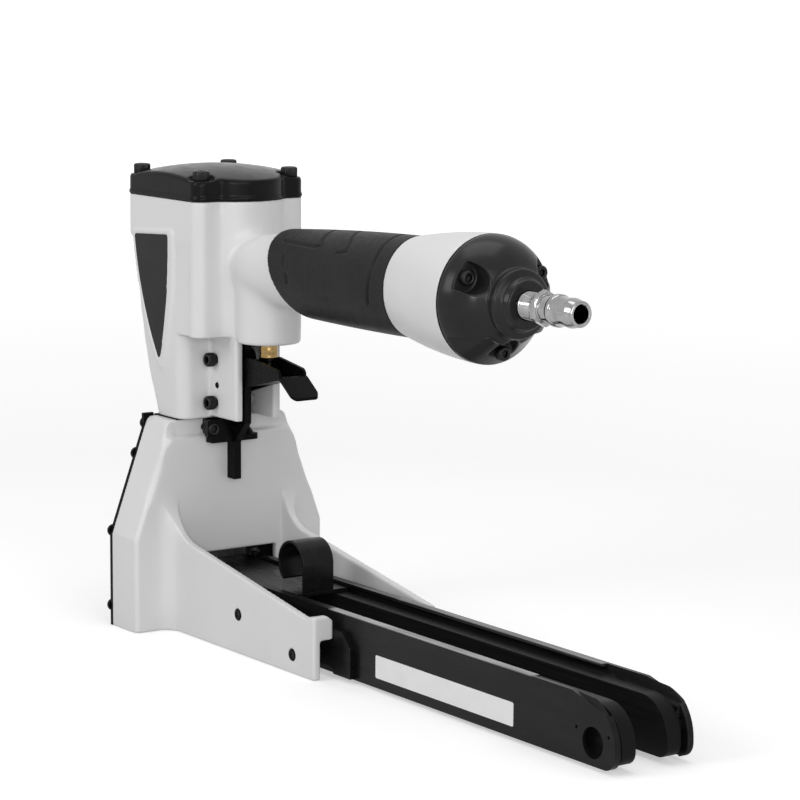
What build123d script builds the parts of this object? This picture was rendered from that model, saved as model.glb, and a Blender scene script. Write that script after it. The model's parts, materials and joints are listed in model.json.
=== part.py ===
"""Pneumatic carton stapler: cylinder head with handle, flared clinching nose and staple magazine."""
from build123d import *
import math
import os

# All sizes are in millimetres. X runs back from the drive line along the magazine, Y runs across
# the tool with the plate side at negative Y, and Z runs up from the base that rests on the carton.

# Room between pieces
SEAT_GAP = 0.02
RUN_GAP = 0.06
FREE_GAP = 0.3

# Fasteners
M5_HEAD_R = 4.25
M5_HEAD_H = 5.0
M5_R = 2.5
M5_SOCKET_R = 2.3
M5_SOCKET_DEPTH = 2.6
HEAD_CHAMFER = 0.5
M4_SCALE = 0.8
BUTTON_R = 3.2
BUTTON_H = 3.0
BUTTON_ROUND = 1.65
BUTTON_SHANK_R = 1.4
BUTTON_SOCKET_R = 1.4
BUTTON_SOCKET_DEPTH = 1.65
FLAT_HEAD_R = 3.4
FLAT_HEAD_H = 1.4
FLAT_SHANK_R = 1.8
FLAT_SOCKET_R = 1.6
FLAT_SOCKET_DEPTH = 1.1

# Stroke and the driver train: yoke plate, crosshead and blade behind the front plate
STROKE = 30.0
BLADE_T = 2.0
BLADE_HALF_W = 17.4
BLADE_END = 0.5
BLADE_GRIP = 7.0
BLADE_PIN_R = 1.5
DRIVE_ROOM = 4.6
CROSSHEAD_H = 16.0
CROSSHEAD_SIDE = 2.1
CROSSHEAD_ROOM = 3.2
ROD_SOCKET = 7.5
YOKE_T = 3.6
YOKE_DROP = 1.0
YOKE_BRIDGE_H = 21.0
YOKE_BRIDGE_HALF_W = 22.0
YOKE_KNEE_H = 10.0
YOKE_LEG_RIM = 3.4
YOKE_WALL_GAP = 0.8
YOKE_SCREW_Y = 12.0
YOKE_SCREW_DROP = 6.0
YOKE_SCREW_LENGTH = 9.0

# Clinchers: hooks that swing in under the carton as the blade comes down
CLINCH_Z = 18.0
CLINCH_SWING = 85.0
CLAW_T = 3.4
CLAW_WALL_GAP = 0.5
HUB_R = 6.5
HOOK_R = 24.5
HOOK_DEPTH = 4.5
HOOK_REACH = 57.0
HOOK_TAPER = 16.0
HOOK_REST_Z = 1.5
HOOK_BACK = 1.6
ARM_SPREAD = 60.0
CRANK_R = 22.9
CRANK_ANGLE = 57.0
CRANK_W = 7.0
CRANK_EYE_R = 4.3
CAM_PIN_R = 2.5
CAM_STEPS = 24
CLINCH_PIN_R = 4.0
CLINCH_HEAD_R = 5.8
CLINCH_HEAD_T = 0.9

# Guides for the blade
GUIDE_LOW = 3.0
GUIDE_TOP = 32.0
GUIDE_RIM = 1.5
GUIDE_HUB_GAP = 1.5
GUIDE_SCREW_Y = 9.0
GUIDE_SCREW_Z = 22.0
GUIDE_SCREW_LENGTH = 8.6
BLADE_GUIDE_H = 8.4
BLADE_GUIDE_SIDE = 1.6

# Magazine, sized round the staple's crown and legs
SILL_T = 1.3
LEG_ROOM = 2.8
MAG_GAP = 0.6
MAG_L = 352.6
MAG_H = 30.7
MAG_SIDE_T = 1.8
MAG_LIP_T = 1.4
MAG_LIP_OVER = 0.2
MAG_LIP_SETBACK = 57.8
MAG_END_TOP_R = 22.0
MAG_END_LOW_R = 7.0
CROWN_ROOM = 2.5
RAIL_SIDE = 0.8
RAIL_W = 7.9
RAIL_LIFT = 0.8
RAIL_SETBACK = 1.8
RAIL_END_TOP_R = 18.0
HOLE_SETBACK = 14.9
HOLE_UP = 10.3
HOLE_R = 7.0
SPACER_SETBACKS = (324.8, 174.8, 16.0)
SPACER_LIFTS = (0.0, 0.0, 11.0)
SPACER_L = 12.0
SPACER_H = 5.0
MOUNT_PLATE_T = 3.0
MOUNT_PLATE_LEAD = 9.8
MOUNT_PLATE_TAIL = 14.5
MOUNT_PLATE_LIFT = 0.6
MOUNT_PLATE_H = 21.8
MOUNT_PLATE_CHAMFER = 7.0

# Pusher with its finger loop
PUSHER_LEAD = 0.8
PUSHER_L = 94.0
PUSHER_T = 2.0
PUSHER_SIDE = 0.2
PUSHER_FOOT_L = 6.0
PUSHER_FOOT_H = 20.0
PUSHER_TONGUE_LEAD = 9.0
PUSHER_TONGUE_L = 48.0
PUSHER_TONGUE_H = 14.5
LOOP_SETBACK = 12.4
LOOP_RISE = 12.85
LOOP_R = 10.9
LOOP_T = 1.4
LOOP_HALF_W = 9.0
LOOP_END_ANGLE = 232.0

# Nose housing and front plate
FRONT_PLATE_T = 2.0
NOSE_DEPTH = 24.3
NOSE_HALF_W = 56.7
NOSE_BEND_Z = 48.3
NOSE_TOP_HALF_W = 35.3
NOSE_WALL = 4.0
NOSE_TOP_R = 4.0
NOSE_EDGE_R = 5.0
TOP_ROOM = 1.3
ROOF_T = 9.6
LEDGE_H = 9.1
LEDGE_IN = 3.7
LEDGE_RISE = 1.2
OPENING_SIDE = 3.0
OPENING_ROOM = 5.3
FRONT_SCREW_INSET = 2.2
FRONT_SCREW_LENGTH = 10.0
FRONT_SCREW_LOW = 10.0
FRONT_SCREW_BEND = 0.7
FRONT_SCREW_DROPS = (19.5, 4.0)
LUG_HALF_W = 3.0
LUG_RISE = 1.5

# Wings of the nose
WING_ROOM = 7.0
WING_T = 4.0
WING_L = 131.8
WING_ROOT_Z = 50.3
WING_ROOT_R = 24.0
WING_BLEND_R = 8.0
WING_TAIL = 7.6
WING_TAIL_DROP = 1.5
WING_EDGE_R = 1.4
LIP_T = 4.5
LIP_LOW = 19.0
LIP_TOP = 30.6
WING_PIN_R = 3.0
WING_PIN_SETBACKS = (68.3, 19.4)
WING_PIN_DROP = 4.5
WING_PIN_RISE = 6.8

# Neck and cylinder block
GASKET_T = 0.5
NECK_H = 44.0
NECK_REAR = 16.0
NECK_EDGE_R = 7.0
HEAD_H = 68.5
BODY_LOW_HALF_W = 30.0
FRONT_LEAN = 17.4
FRONT_MID_UP = 38.0
FRONT_MID_X = -23.4
RIB_UP = 24.0
RIB_PITCH = 14.3
RIB_COUNT = 4
RIB_R = 9.0
RIB_H = 0.7
FLANGE_H = 20.5
FLANGE_LEAD = 4.5

# Cap, with its screws on a rectangle and a round bulge at the back
SCREW_X = 29.0
SCREW_Y = 26.2
LOBE_R = 6.3
BULGE_OUT = 8.2
BULGE_HALF_W = 23.0
BULGE_BLEND_R = 4.0
CAP_H = 15.8
CAP_BALL_R = 165.0
CAP_EDGE_R = 2.0
CAP_SEAT = 9.9
CAP_SEAT_R = 5.8
CAP_POCKET_R = 6.7
CAP_LIP = 0.5
CAP_LIP_H = 1.4
CAP_HOLLOW_SIDE = 1.5
CAP_HOLLOW_H = 7.0
CAP_SCREW_LENGTH = 20.0

# Cylinder, piston and rod
FLOOR_T = 6.0
BORE_R = 20.0
SLEEVE_T = 2.2
BUMPER_H = 9.0
BUMPER_CHAMFER = 2.0
PISTON_H = 12.0
RING_H = 3.0
RING_DEPTH = 2.5
ROD_R = 6.0
ROD_NECK_R = 4.0
ROD_CLEAR_R = 7.5
NUT_AF = 13.0
NUT_H = 4.6
BUSH_R = 9.0
BUSH_H = 8.0

# Bare plate on the left side, given along X and up from the neck's bottom
PLATE_LEFT = (-25.6, 92.5)
PLATE_RIGHT = (7.6, 94.5)
PLATE_POINT = (-3.5, 27.6)
PLATE_LEFT_MID = (-18.6, 60.0)
PLATE_RIGHT_MID = (4.6, 60.0)
PLATE_CORNER_R = 1.6
PLATE_T = 1.0
PLATE_SINK = 0.4
BORDER_H = 1.0
BORDER_LEFT = 2.0
BORDER_RIGHT = 5.0
BORDER_TOP = 2.6
BORDER_POINT = 7.0

# Trigger walls and valve boss
WALL_L = 25.3
WALL_IN = 9.1
WALL_T = 4.3
WALL_LIFT = 1.2
WALL_EDGE_R = 1.5
BOSS_R = 16.2
BOSS_DROP = 2.0
BOSS_H = 51.0
BOSS_EDGE_R = 1.5
BOSS_TOP_R = 9.0
VALVE_REACH = 34.6

# Trigger lever, drawn from its pivot, and valve
PIVOT_REACH = 6.4
PIVOT_DROP = 26.4
PIVOT_R = 1.5
PIVOT_SINK = 1.5
LEVER_OUT = 8.2
LEVER_T = 1.6
LEVER_EYE_R = 4.6
LEVER_NAPE = (-2.8, 3.7)
LEVER_HEEL = (11.6, 15.7)
LEVER_CREST = (27.0, 16.2)
LEVER_RUMP = (50.0, 12.8)
LEVER_RUMP_R = 3.4
LEVER_KNEE = (50.2, 8.4)
LEVER_TIP = (62.8, -0.8)
LEVER_BELLY = (20.0, 1.2)
LEVER_BEND_R = 4.0
LEVER_TAIL_R = 3.2
STEM_R = 4.6
STEM_BARE = 8.0
STEM_TIP_R = 2.2
STEM_TIP_ROUND = 1.2
STEM_IN = 15.0
STEM_SEAL_R = 3.6
STEM_SEAL_H = 2.0
STEM_SEAL_IN = 8.0
STEM_CHAMFER = 0.5
VALVE_SLEEVE_R = 8.0
VALVE_SLEEVE_L = 18.5
VALVE_WELL = 25.0
SPRING_R = 3.6
SPRING_WIRE_R = 0.55

# Guide web, clamp and stud at the back of the neck
WEB_T = 4.0
WEB_REACH = 8.6
WEB_TOP_ROOM = 4.0
WEB_KNEE_DROP = 2.0
WEB_BOSS_R = 4.0
TONGUE_OUT = 7.1
TONGUE_KNEE_DROP = 13.0
TONGUE_DROP = 32.4
SIDE_SCREW_DROPS = (13.2, 35.4)
SIDE_SCREW_LENGTH = 9.0
CLAMP_SIDE = 17.2
CLAMP_TAPER = 2.6
CLAMP_H = 12.0
CLAMP_TOP_GAP = 0.2
CLAMP_OUT = 5.8
CLAMP_NOTCH_W = 2.4
CLAMP_NOTCH_H = 3.2
CLAMP_SCREW_Y = 13.4
CLAMP_SCREW_DROP = 4.9
CLAMP_SCREW_LENGTH = 16.0
FOOT_SIDE = 14.0
FOOT_T = 3.0
FOOT_CORNER_R = 2.5
STUD_OUT = 3.6
STUD_SIDE = 5.4
STUD_R = 1.5
STUD_RISE = 3.0
STUD_CONE_H = 4.0
STUD_CONE_R = 4.2

# Handle, grip and flared end
HANDLE_RISE = 36.5
GRIP_START = 40.7
GRIP_L = 96.3
GRIP_LEAN = 31.0
GRIP_HALF_W = 21.2
GRIP_FRONT_R = 21.5
GRIP_END_R = 24.1
GRIP_SWELL = 0.6
GRIP_CLIMB = 2.2
GRIP_WALL = 3.6
GROOVE_W = 1.5
GROOVE_DEPTH = 0.8
GROOVE_SETBACKS = (20.3, 47.3, 81.5)
GROOVE_LIMITS = (19.0, 17.5, -6.0)
GROOVE_LEAD = 13.0
ROOT_STEP = 2.4
ROOT_NARROW = 7.0
ROOT_L = 30.0
RING_STEPS = 4
FLARE_L = 53.5
FLARE_BOW = 1.7
RIM_R = 29.8
HANDLE_BORE_R = 12.5
HANDLE_BORE_LEAD = 12.0

# End cap, measured back from its seat, and air plug
END_SKIRT = 2.0
END_BULGE = 9.5
END_BULGE_R = 27.1
END_DOME = 16.8
END_DOME_R = 20.2
END_FOOT = 19.2
END_STEP = 23.6
END_STEP_R = 16.0
END_SHOULDER = 25.0
END_SHOULDER_R = 12.2
END_BOSS = 28.5
END_BOSS_R = 11.2
END_EDGE_R = 1.0
END_LOW_DROP = 15.0
END_LOW = 15.5
END_LOW_R = 19.4
END_HOLLOW = 6.0
END_HOLLOW_R = 15.5
END_SCREW_RADIUS = 23.6
END_SCREW_ANGLES = (30.0, 150.0, 270.0)
END_SCREW_LENGTH = 18.0
END_POCKET = 8.0
END_POCKET_R = 7.0
PLUG_SEAT_L = 10.4
PLUG_THREAD_R = 6.45
PLUG_THREAD_L = 9.3
PLUG_HEX_AF = 14.4
PLUG_HEX_L = 4.4
PLUG_NECK_R = 6.5
PLUG_NECK_L = 6.0
PLUG_COLLAR_R = 7.4
PLUG_COLLAR_L = 3.4
PLUG_BARREL_R = 6.8
PLUG_BARREL_L = 9.0
PLUG_TAPER_R = 5.9
PLUG_TAPER_L = 4.4
PLUG_LIP_R = 5.5
PLUG_LIP_L = 1.0
PLUG_BORE_R = 4.2

# Layers from the blade forward to the front plate
PIN_HEAD_REAR = -BLADE_T / 2 - FREE_GAP
CLAW_REAR = PIN_HEAD_REAR - CLINCH_HEAD_T - FREE_GAP
CLAW_FRONT = CLAW_REAR - CLAW_T
YOKE_REAR = CLAW_FRONT - FREE_GAP
YOKE_FRONT = YOKE_REAR - YOKE_T
NOSE_FRONT = YOKE_FRONT - FREE_GAP
FRONT_X = NOSE_FRONT - FRONT_PLATE_T
NOSE_REAR_X = NOSE_FRONT + NOSE_DEPTH
NOSE_INNER_REAR = NOSE_REAR_X - NOSE_WALL
CROSSHEAD_REAR = NOSE_INNER_REAR - CROSSHEAD_ROOM
LEDGE_X = NOSE_REAR_X - LEDGE_IN

# Heights from the base up: magazine, driver train, nose, neck and head
MAG_LOW = SILL_T + FREE_GAP
MAG_TOP = MAG_LOW + MAG_H
RAIL_LOW = MAG_LOW + RAIL_LIFT
RAIL_TOP = MAG_TOP - MAG_LIP_T - CROWN_ROOM
PUSHER_LOW = RAIL_TOP + FREE_GAP / 2
PUSHER_TOP = PUSHER_LOW + PUSHER_T
OPENING_TOP = MAG_TOP + OPENING_ROOM
BLADE_LOW = STROKE + BLADE_END
BLADE_GUIDE_TOP = OPENING_TOP + BLADE_GUIDE_H
CROSSHEAD_LOW = BLADE_GUIDE_TOP + STROKE + DRIVE_ROOM
CROSSHEAD_TOP = CROSSHEAD_LOW + CROSSHEAD_H
YOKE_TOP = CROSSHEAD_TOP - YOKE_DROP
YOKE_BRIDGE_LOW = YOKE_TOP - YOKE_BRIDGE_H
YOKE_SCREW_Z = YOKE_TOP - YOKE_SCREW_DROP
CAVITY_TOP = CROSSHEAD_TOP + TOP_ROOM
NOSE_TOP = CAVITY_TOP + ROOF_T
LEDGE_Z = NOSE_TOP - LEDGE_H
NECK_BOTTOM = NOSE_TOP + GASKET_T
NECK_TOP = NECK_BOTTOM + NECK_H
BODY_TOP = NECK_TOP + HEAD_H
FLANGE_BOTTOM = BODY_TOP - FLANGE_H
CAP_LOW = BODY_TOP + GASKET_T
CAP_TOP = CAP_LOW + CAP_SEAT
FLOOR_Z = NECK_TOP + FLOOR_T
PISTON_LOW = FLOOR_Z + BUMPER_H + FREE_GAP + STROKE
PISTON_TOP = PISTON_LOW + PISTON_H
GRIP_FRONT_Z = NECK_TOP + HANDLE_RISE
AXIS_Z = GRIP_FRONT_Z + GRIP_CLIMB
BOSS_BOTTOM = NECK_TOP - BOSS_DROP
BOSS_TOP = BOSS_BOTTOM + BOSS_H

SLEEVE_R = BORE_R + SLEEVE_T
CAP_HOLLOW_R = BORE_R + CAP_HOLLOW_SIDE
LUG_TOP = NOSE_TOP + LUG_RISE
FRONT_SCREW_HIGH = [NOSE_TOP - drop for drop in FRONT_SCREW_DROPS]
FRONT_SCREW_Z = [FRONT_SCREW_LOW, NOSE_BEND_Z + FRONT_SCREW_BEND, *FRONT_SCREW_HIGH]

# Widths from the staple's crown out
MAG_IN = BLADE_HALF_W + LEG_ROOM
MAG_OUT = MAG_IN + MAG_SIDE_T
RAIL_OUT = BLADE_HALF_W - RAIL_SIDE
RAIL_IN = RAIL_OUT - RAIL_W
MOUNT_PLATE_OUT = MAG_OUT + MOUNT_PLATE_T
OPENING_HALF_W = MOUNT_PLATE_OUT + OPENING_SIDE
WING_IN = MOUNT_PLATE_OUT + WING_ROOM
WING_OUT = WING_IN + WING_T
WALL_OUT = WALL_IN + WALL_T
BLADE_GUIDE_HALF_W = BLADE_HALF_W + BLADE_GUIDE_SIDE
CROSSHEAD_HALF_W = BLADE_HALF_W + CROSSHEAD_SIDE
PUSHER_HALF_W = BLADE_HALF_W - PUSHER_SIDE
MAG_LIP_IN = BLADE_HALF_W + MAG_LIP_OVER
STUD_Y = WEB_T / 2 + STUD_SIDE
BODY_TOP_HALF_W = SCREW_Y + LOBE_R
NOSE_SLOPE = (NOSE_HALF_W - NOSE_TOP_HALF_W) / (NOSE_TOP - NOSE_BEND_Z)

# Places along X: magazine and wings, head, handle and end cap
MAG_FRONT = HOOK_BACK + MAG_GAP
MAG_END = MAG_FRONT + MAG_L
RAIL_END = MAG_END - RAIL_SETBACK
MAG_LIP_END = MAG_END - MAG_LIP_SETBACK
HOLE_X = MAG_END - HOLE_SETBACK
HOLE_Z = MAG_LOW + HOLE_UP
PUSHER_FRONT = MAG_FRONT + PUSHER_LEAD
PUSHER_END = PUSHER_FRONT + PUSHER_L
LOOP_X = PUSHER_END - LOOP_SETBACK
LOOP_Z = PUSHER_TOP + LOOP_RISE
WING_END = NOSE_REAR_X + WING_L
MOUNT_PLATE_FRONT = NOSE_REAR_X + MOUNT_PLATE_LEAD
MOUNT_PLATE_END = WING_END + MOUNT_PLATE_TAIL
MOUNT_PLATE_LOW = MAG_LOW + MOUNT_PLATE_LIFT
MOUNT_PLATE_TOP = MOUNT_PLATE_LOW + MOUNT_PLATE_H
WING_PIN_HEIGHTS = (MOUNT_PLATE_TOP - WING_PIN_DROP, MOUNT_PLATE_LOW + WING_PIN_RISE)
WING_PIN_PLACES = [(WING_END - back, z) for back, z in zip(WING_PIN_SETBACKS, WING_PIN_HEIGHTS)]
FRONT_TOP_X = FRONT_X - FRONT_LEAN
BODY_REAR = SCREW_X + LOBE_R
BULGE_X = BODY_REAR + BULGE_OUT
WALL_REAR = NECK_REAR + WALL_L
VALVE_X = NECK_REAR + VALVE_REACH
HANDLE_BORE_X = VALVE_X + HANDLE_BORE_LEAD
GRIP_MID_X = BULGE_X + GRIP_START
GRIP_END_X = GRIP_MID_X + GRIP_L
RIM_X = GRIP_END_X + FLARE_L
END_CAP_X = RIM_X + GASKET_T
END_POCKET_X = END_CAP_X + END_POCKET
END_BOSS_X = END_CAP_X + END_BOSS
END_SCREW_R = M5_R * M4_SCALE

# Clincher pivots, set so that the cranks swing clear of the nose's walls
CLINCH_Y = NOSE_HALF_W - NOSE_WALL - CLAW_WALL_GAP - CRANK_EYE_R - CRANK_R
HOOK_START = math.degrees(math.asin((HOOK_REST_Z - CLINCH_Z) / HOOK_R))
GUIDE_WIDE = CLINCH_Y + CLINCH_PIN_R + GUIDE_RIM
GUIDE_NARROW = CLINCH_Y - HUB_R - GUIDE_HUB_GAP
YOKE_LEG_IN = GUIDE_WIDE + 2 * FREE_GAP

# Trigger pivot, the screws beside it and the valve above the lever
PIVOT_X = NECK_REAR + PIVOT_REACH
PIVOT_Z = NECK_TOP - PIVOT_DROP
SIDE_SCREW_X = NECK_REAR + M5_HEAD_R + FREE_GAP
SIDE_SCREW_PLACES = [(SIDE_SCREW_X, NECK_TOP - drop) for drop in SIDE_SCREW_DROPS]
LEVER_SLOPE = (LEVER_KNEE[1] - LEVER_BELLY[1]) / (LEVER_KNEE[0] - LEVER_BELLY[0])
LEVER_FLOOR = PIVOT_Z + LEVER_BELLY[1] + LEVER_T + (VALVE_X - PIVOT_X - LEVER_BELLY[0]) * LEVER_SLOPE
STEM_TIP_LOW = LEVER_FLOOR + STEM_TIP_R * LEVER_SLOPE + FREE_GAP
STEM_LOW = BOSS_BOTTOM - STEM_BARE
STEM_TOP = BOSS_BOTTOM + STEM_IN
STEM_SEAL_Z = BOSS_BOTTOM + STEM_SEAL_IN
VALVE_SLEEVE_TOP = BOSS_BOTTOM + VALVE_SLEEVE_L
VALVE_WELL_TOP = BOSS_BOTTOM + VALVE_WELL
WEB_REAR = PIVOT_X + WEB_REACH
WEB_TOP = NECK_TOP - WEB_TOP_ROOM
TONGUE_REAR = NOSE_REAR_X + TONGUE_OUT
STUD_X = NOSE_REAR_X + STUD_OUT
CLAMP_TOP = NOSE_TOP - CLAMP_TOP_GAP
CLAMP_LOW = CLAMP_TOP - CLAMP_H
CLAMP_REAR = NOSE_REAR_X + CLAMP_OUT
CLAMP_SCREW_Z = NOSE_TOP - CLAMP_SCREW_DROP


def along_x(outline, x0, x1):
    """Stretch an outline drawn in Y and Z from x0 to x1."""
    return extrude(Plane.YZ.offset(x0) * outline, x1 - x0)


def along_y(outline, y0, y1):
    """Stretch an outline drawn in X and Z from y0 to y1."""
    return extrude(Plane.XZ.offset(-y1) * outline, y1 - y0)


def along_z(outline, z0, z1):
    """Stretch an outline drawn in X and Y from z0 to z1."""
    return extrude(Plane.XY.offset(z0) * outline, z1 - z0)


def block(x0, x1, y0, y1, z0, z1):
    """A box between two corners."""
    middle = Pos((x0 + x1) / 2, (y0 + y1) / 2, (z0 + z1) / 2)
    return middle * Box(x1 - x0, y1 - y0, z1 - z0)


def rod_x(radius, x0, x1, y, z):
    """A round bar along X."""
    return Pos((x0 + x1) / 2, y, z) * Rot(0, 90, 0) * Cylinder(radius, x1 - x0)


def rod_y(radius, y0, y1, x, z):
    """A round bar along Y."""
    return Pos(x, (y0 + y1) / 2, z) * Rot(90, 0, 0) * Cylinder(radius, y1 - y0)


def rod_z(radius, z0, z1, x=0.0, y=0.0):
    """A round bar along Z."""
    return Pos(x, y, (z0 + z1) / 2) * Cylinder(radius, z1 - z0)


def other_side(solid):
    """The same piece on the other side of the tool."""
    return mirror(solid, Plane.XZ)


def polygon(*points):
    """A closed outline through the points."""
    return make_face(Polyline(*points, close=True))


def rounded(outline, corner, radius):
    """Round the corner of an outline that lies nearest to a point."""
    vertex = outline.vertices().sort_by_distance((corner[0], corner[1], 0))[0]
    return fillet(vertex, radius)


def socket_screw(length, scale=1.0):
    """A socket head screw standing on Z, with its head seat at Z = 0, scaled from M5."""
    top = M5_HEAD_H * scale
    head = rod_z(M5_HEAD_R * scale, 0, top)
    head = chamfer(head.edges().sort_by(Axis.Z)[-1], HEAD_CHAMFER * scale)
    socket = along_z(RegularPolygon(M5_SOCKET_R * scale, 6), top - M5_SOCKET_DEPTH * scale, top)
    return head - socket + rod_z(M5_R * scale, -length, 0)


def button_screw(length):
    """A button head screw standing on Z, with its head seat at Z = 0."""
    head = rod_z(BUTTON_R, 0, BUTTON_H)
    head = fillet(head.edges().sort_by(Axis.Z)[-1], BUTTON_ROUND)
    socket = along_z(RegularPolygon(BUTTON_SOCKET_R, 6), BUTTON_H - BUTTON_SOCKET_DEPTH, BUTTON_H)
    return head - socket + rod_z(BUTTON_SHANK_R, -length, 0)


def flat_screw(length, head_h=FLAT_HEAD_H):
    """A flush screw standing on Z, with the top of its head at Z = 0."""
    screw = rod_z(FLAT_HEAD_R, -head_h, 0) + rod_z(FLAT_SHANK_R, -length, 0)
    return screw - along_z(RegularPolygon(FLAT_SOCKET_R, 6), -FLAT_SOCKET_DEPTH, 0)


def facing_x(solid, x, y, z):
    """Turn a piece that stands on Z so that it faces +X."""
    return Pos(x, y, z) * Rot(0, 90, 0) * solid


def facing_front(solid, x, y, z):
    """Turn a piece that stands on Z so that it faces -X."""
    return Pos(x, y, z) * Rot(0, -90, 0) * solid


def facing_left(solid, x, y, z):
    """Turn a piece that stands on Z so that it faces -Y."""
    return Pos(x, y, z) * Rot(90, 0, 0) * solid


# Shared outlines and places


def cap_plan(grow=0.0):
    """Plan of the cap: four screw lobes joined by straight sides, with a round bulge at the back."""
    plan = RectangleRounded(2 * (BODY_REAR + grow), 2 * (BODY_TOP_HALF_W + grow), LOBE_R + grow)
    plan += bulge_plan(grow)
    back = [v for v in plan.vertices() if abs(v.X - BODY_REAR - grow) < SEAT_GAP]
    notches = [v for v in back if abs(v.Y) < BULGE_HALF_W]
    return fillet(notches, BULGE_BLEND_R - grow)


def bulge_plan(grow=0.0):
    """Plan of the round bulge at the back of the cylinder block."""
    left = (SCREW_X, -BULGE_HALF_W - grow)
    right = (SCREW_X, BULGE_HALF_W + grow)
    return make_face(ThreePointArc(left, (BULGE_X + grow, 0), right) + Line(right, left))


def cap_screw_places():
    return [(x, y) for x in (-SCREW_X, SCREW_X) for y in (-SCREW_Y, SCREW_Y)]


def end_screw_places():
    angles = [math.radians(angle) for angle in END_SCREW_ANGLES]
    return [(END_SCREW_RADIUS * math.cos(a), AXIS_Z + END_SCREW_RADIUS * math.sin(a)) for a in angles]


def plate_plane(lift=0.0):
    """Plane of the left side wall, which leans out by its draft, with X along it and Y up it."""
    draft = math.atan2(BODY_TOP_HALF_W - BODY_LOW_HALF_W, BODY_TOP - NECK_BOTTOM)
    out = Vector(0, -math.cos(draft), -math.sin(draft))
    foot = Vector(0, -BODY_LOW_HALF_W, NECK_BOTTOM)
    return Plane(origin=foot + out * lift, x_dir=(1, 0, 0), z_dir=out)


def plate_outline(left=0.0, right=0.0, top=0.0, point=0.0):
    """Triangular outline of the side plate with bowed long edges, grown at its sides, top and point."""
    high_left = (PLATE_LEFT[0] - left, PLATE_LEFT[1] + top)
    high_right = (PLATE_RIGHT[0] + right, PLATE_RIGHT[1] + top)
    low = (PLATE_POINT[0] + (right - left) / 2, PLATE_POINT[1] - point)
    left_mid = (PLATE_LEFT_MID[0] - left, PLATE_LEFT_MID[1])
    right_mid = (PLATE_RIGHT_MID[0] + right, PLATE_RIGHT_MID[1])
    edges = Line(high_left, high_right)
    edges += ThreePointArc(high_right, right_mid, low)
    edges += ThreePointArc(low, left_mid, high_left)
    outline = make_face(edges)
    return fillet(outline.vertices(), PLATE_CORNER_R + left)


def nose_half_width(z, inset=0.0):
    """Half width of the flared nose at a height, measured inset from its wall."""
    slant = NOSE_HALF_W - (z - NOSE_BEND_Z) * NOSE_SLOPE - inset * math.hypot(1, NOSE_SLOPE)
    return min(NOSE_HALF_W - inset, slant)


def nose_outline(low, top, inset=0.0):
    """Flared outline of the nose seen from the front."""
    bend = NOSE_BEND_Z - inset * (math.hypot(1, NOSE_SLOPE) - 1) / NOSE_SLOPE
    half = [(nose_half_width(z, inset), z) for z in (low, bend, top)]
    return polygon(*half, *[(-y, z) for y, z in reversed(half)])


def handle_ring(x, inset=0.0):
    """Oval section of the handle at a place along X."""
    share = (x - GRIP_MID_X) / GRIP_L
    swell = 4 * GRIP_SWELL * share * (1 - share)
    half_h = GRIP_FRONT_R + share * (GRIP_END_R - GRIP_FRONT_R) + swell - inset
    oval = Ellipse(GRIP_HALF_W - inset, half_h)
    return Plane.YZ.offset(x) * Pos(0, GRIP_FRONT_Z + share * GRIP_CLIMB) * oval


def handle_skin(x0, x1, inset=0.0):
    """The oval, slowly widening handle between two places along X."""
    step = (x1 - x0) / RING_STEPS
    return loft([handle_ring(x0 + step * i, inset) for i in range(RING_STEPS + 1)])


def behind_grip_edge():
    """Everything behind the leaning front edge of the grip."""
    size = 4 * RIM_X
    lean = Pos(GRIP_MID_X, 0, GRIP_FRONT_Z) * Rot(0, -GRIP_LEAN, 0)
    return lean * Pos(size / 2, 0, 0) * Box(size, size, size)


def turned(points):
    """Turn an outline of places along X and radii about the air inlet's axis."""
    outline = polygon(*[(x, AXIS_Z + r) for x, r in points])
    return revolve(Plane.XZ * outline, Axis((0, 0, AXIS_Z), (1, 0, 0)))


def cam_path():
    """Places of the cam pin, seen from the yoke, as the stroke runs."""
    path = []
    for i in range(CAM_STEPS + 1):
        share = i / CAM_STEPS
        angle = math.radians(CRANK_ANGLE - CLINCH_SWING * share)
        y = CLINCH_Y + CRANK_R * math.cos(angle)
        z = CLINCH_Z + CRANK_R * math.sin(angle) + STROKE * share
        path.append((y, z))
    return path


def at_pivot(radius, degrees):
    """A point round the clincher's pivot."""
    angle = math.radians(degrees)
    return (CLINCH_Y + radius * math.cos(angle), CLINCH_Z + radius * math.sin(angle))


# Cylinder head, handle and their covers


def front_arc(forward=0.0):
    """Bowed front of the block in side view, moved forward for the ribs."""
    top = (FRONT_TOP_X - forward, BODY_TOP)
    middle = (FRONT_MID_X - forward, NECK_BOTTOM + FRONT_MID_UP)
    return ThreePointArc(top, middle, (FRONT_X - forward, NECK_BOTTOM))


def cylinder_block(forward=0.0):
    """Block with a bowed front that runs down into the neck, drafted at its sides."""
    back = Polyline(
        (FRONT_X - forward, NECK_BOTTOM),
        (NECK_REAR, NECK_BOTTOM),
        (NECK_REAR, NECK_TOP),
        (BODY_REAR, NECK_TOP),
        (BODY_REAR, BODY_TOP),
        (FRONT_TOP_X - forward, BODY_TOP),
    )
    side = make_face(front_arc(forward) + back)
    width = polygon(
        (-BODY_LOW_HALF_W, NECK_BOTTOM),
        (BODY_LOW_HALF_W, NECK_BOTTOM),
        (BODY_TOP_HALF_W, BODY_TOP),
        (-BODY_TOP_HALF_W, BODY_TOP),
    )
    slab = along_y(side, -2 * BODY_TOP_HALF_W, 2 * BODY_TOP_HALF_W)
    slab = slab & along_x(width, 2 * FRONT_TOP_X, 2 * BODY_REAR)
    upright = [e for e in slab.edges() if abs(e.tangent_at(0.5).Z) > 0.5]
    return fillet(upright, NECK_EDGE_R)


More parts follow.
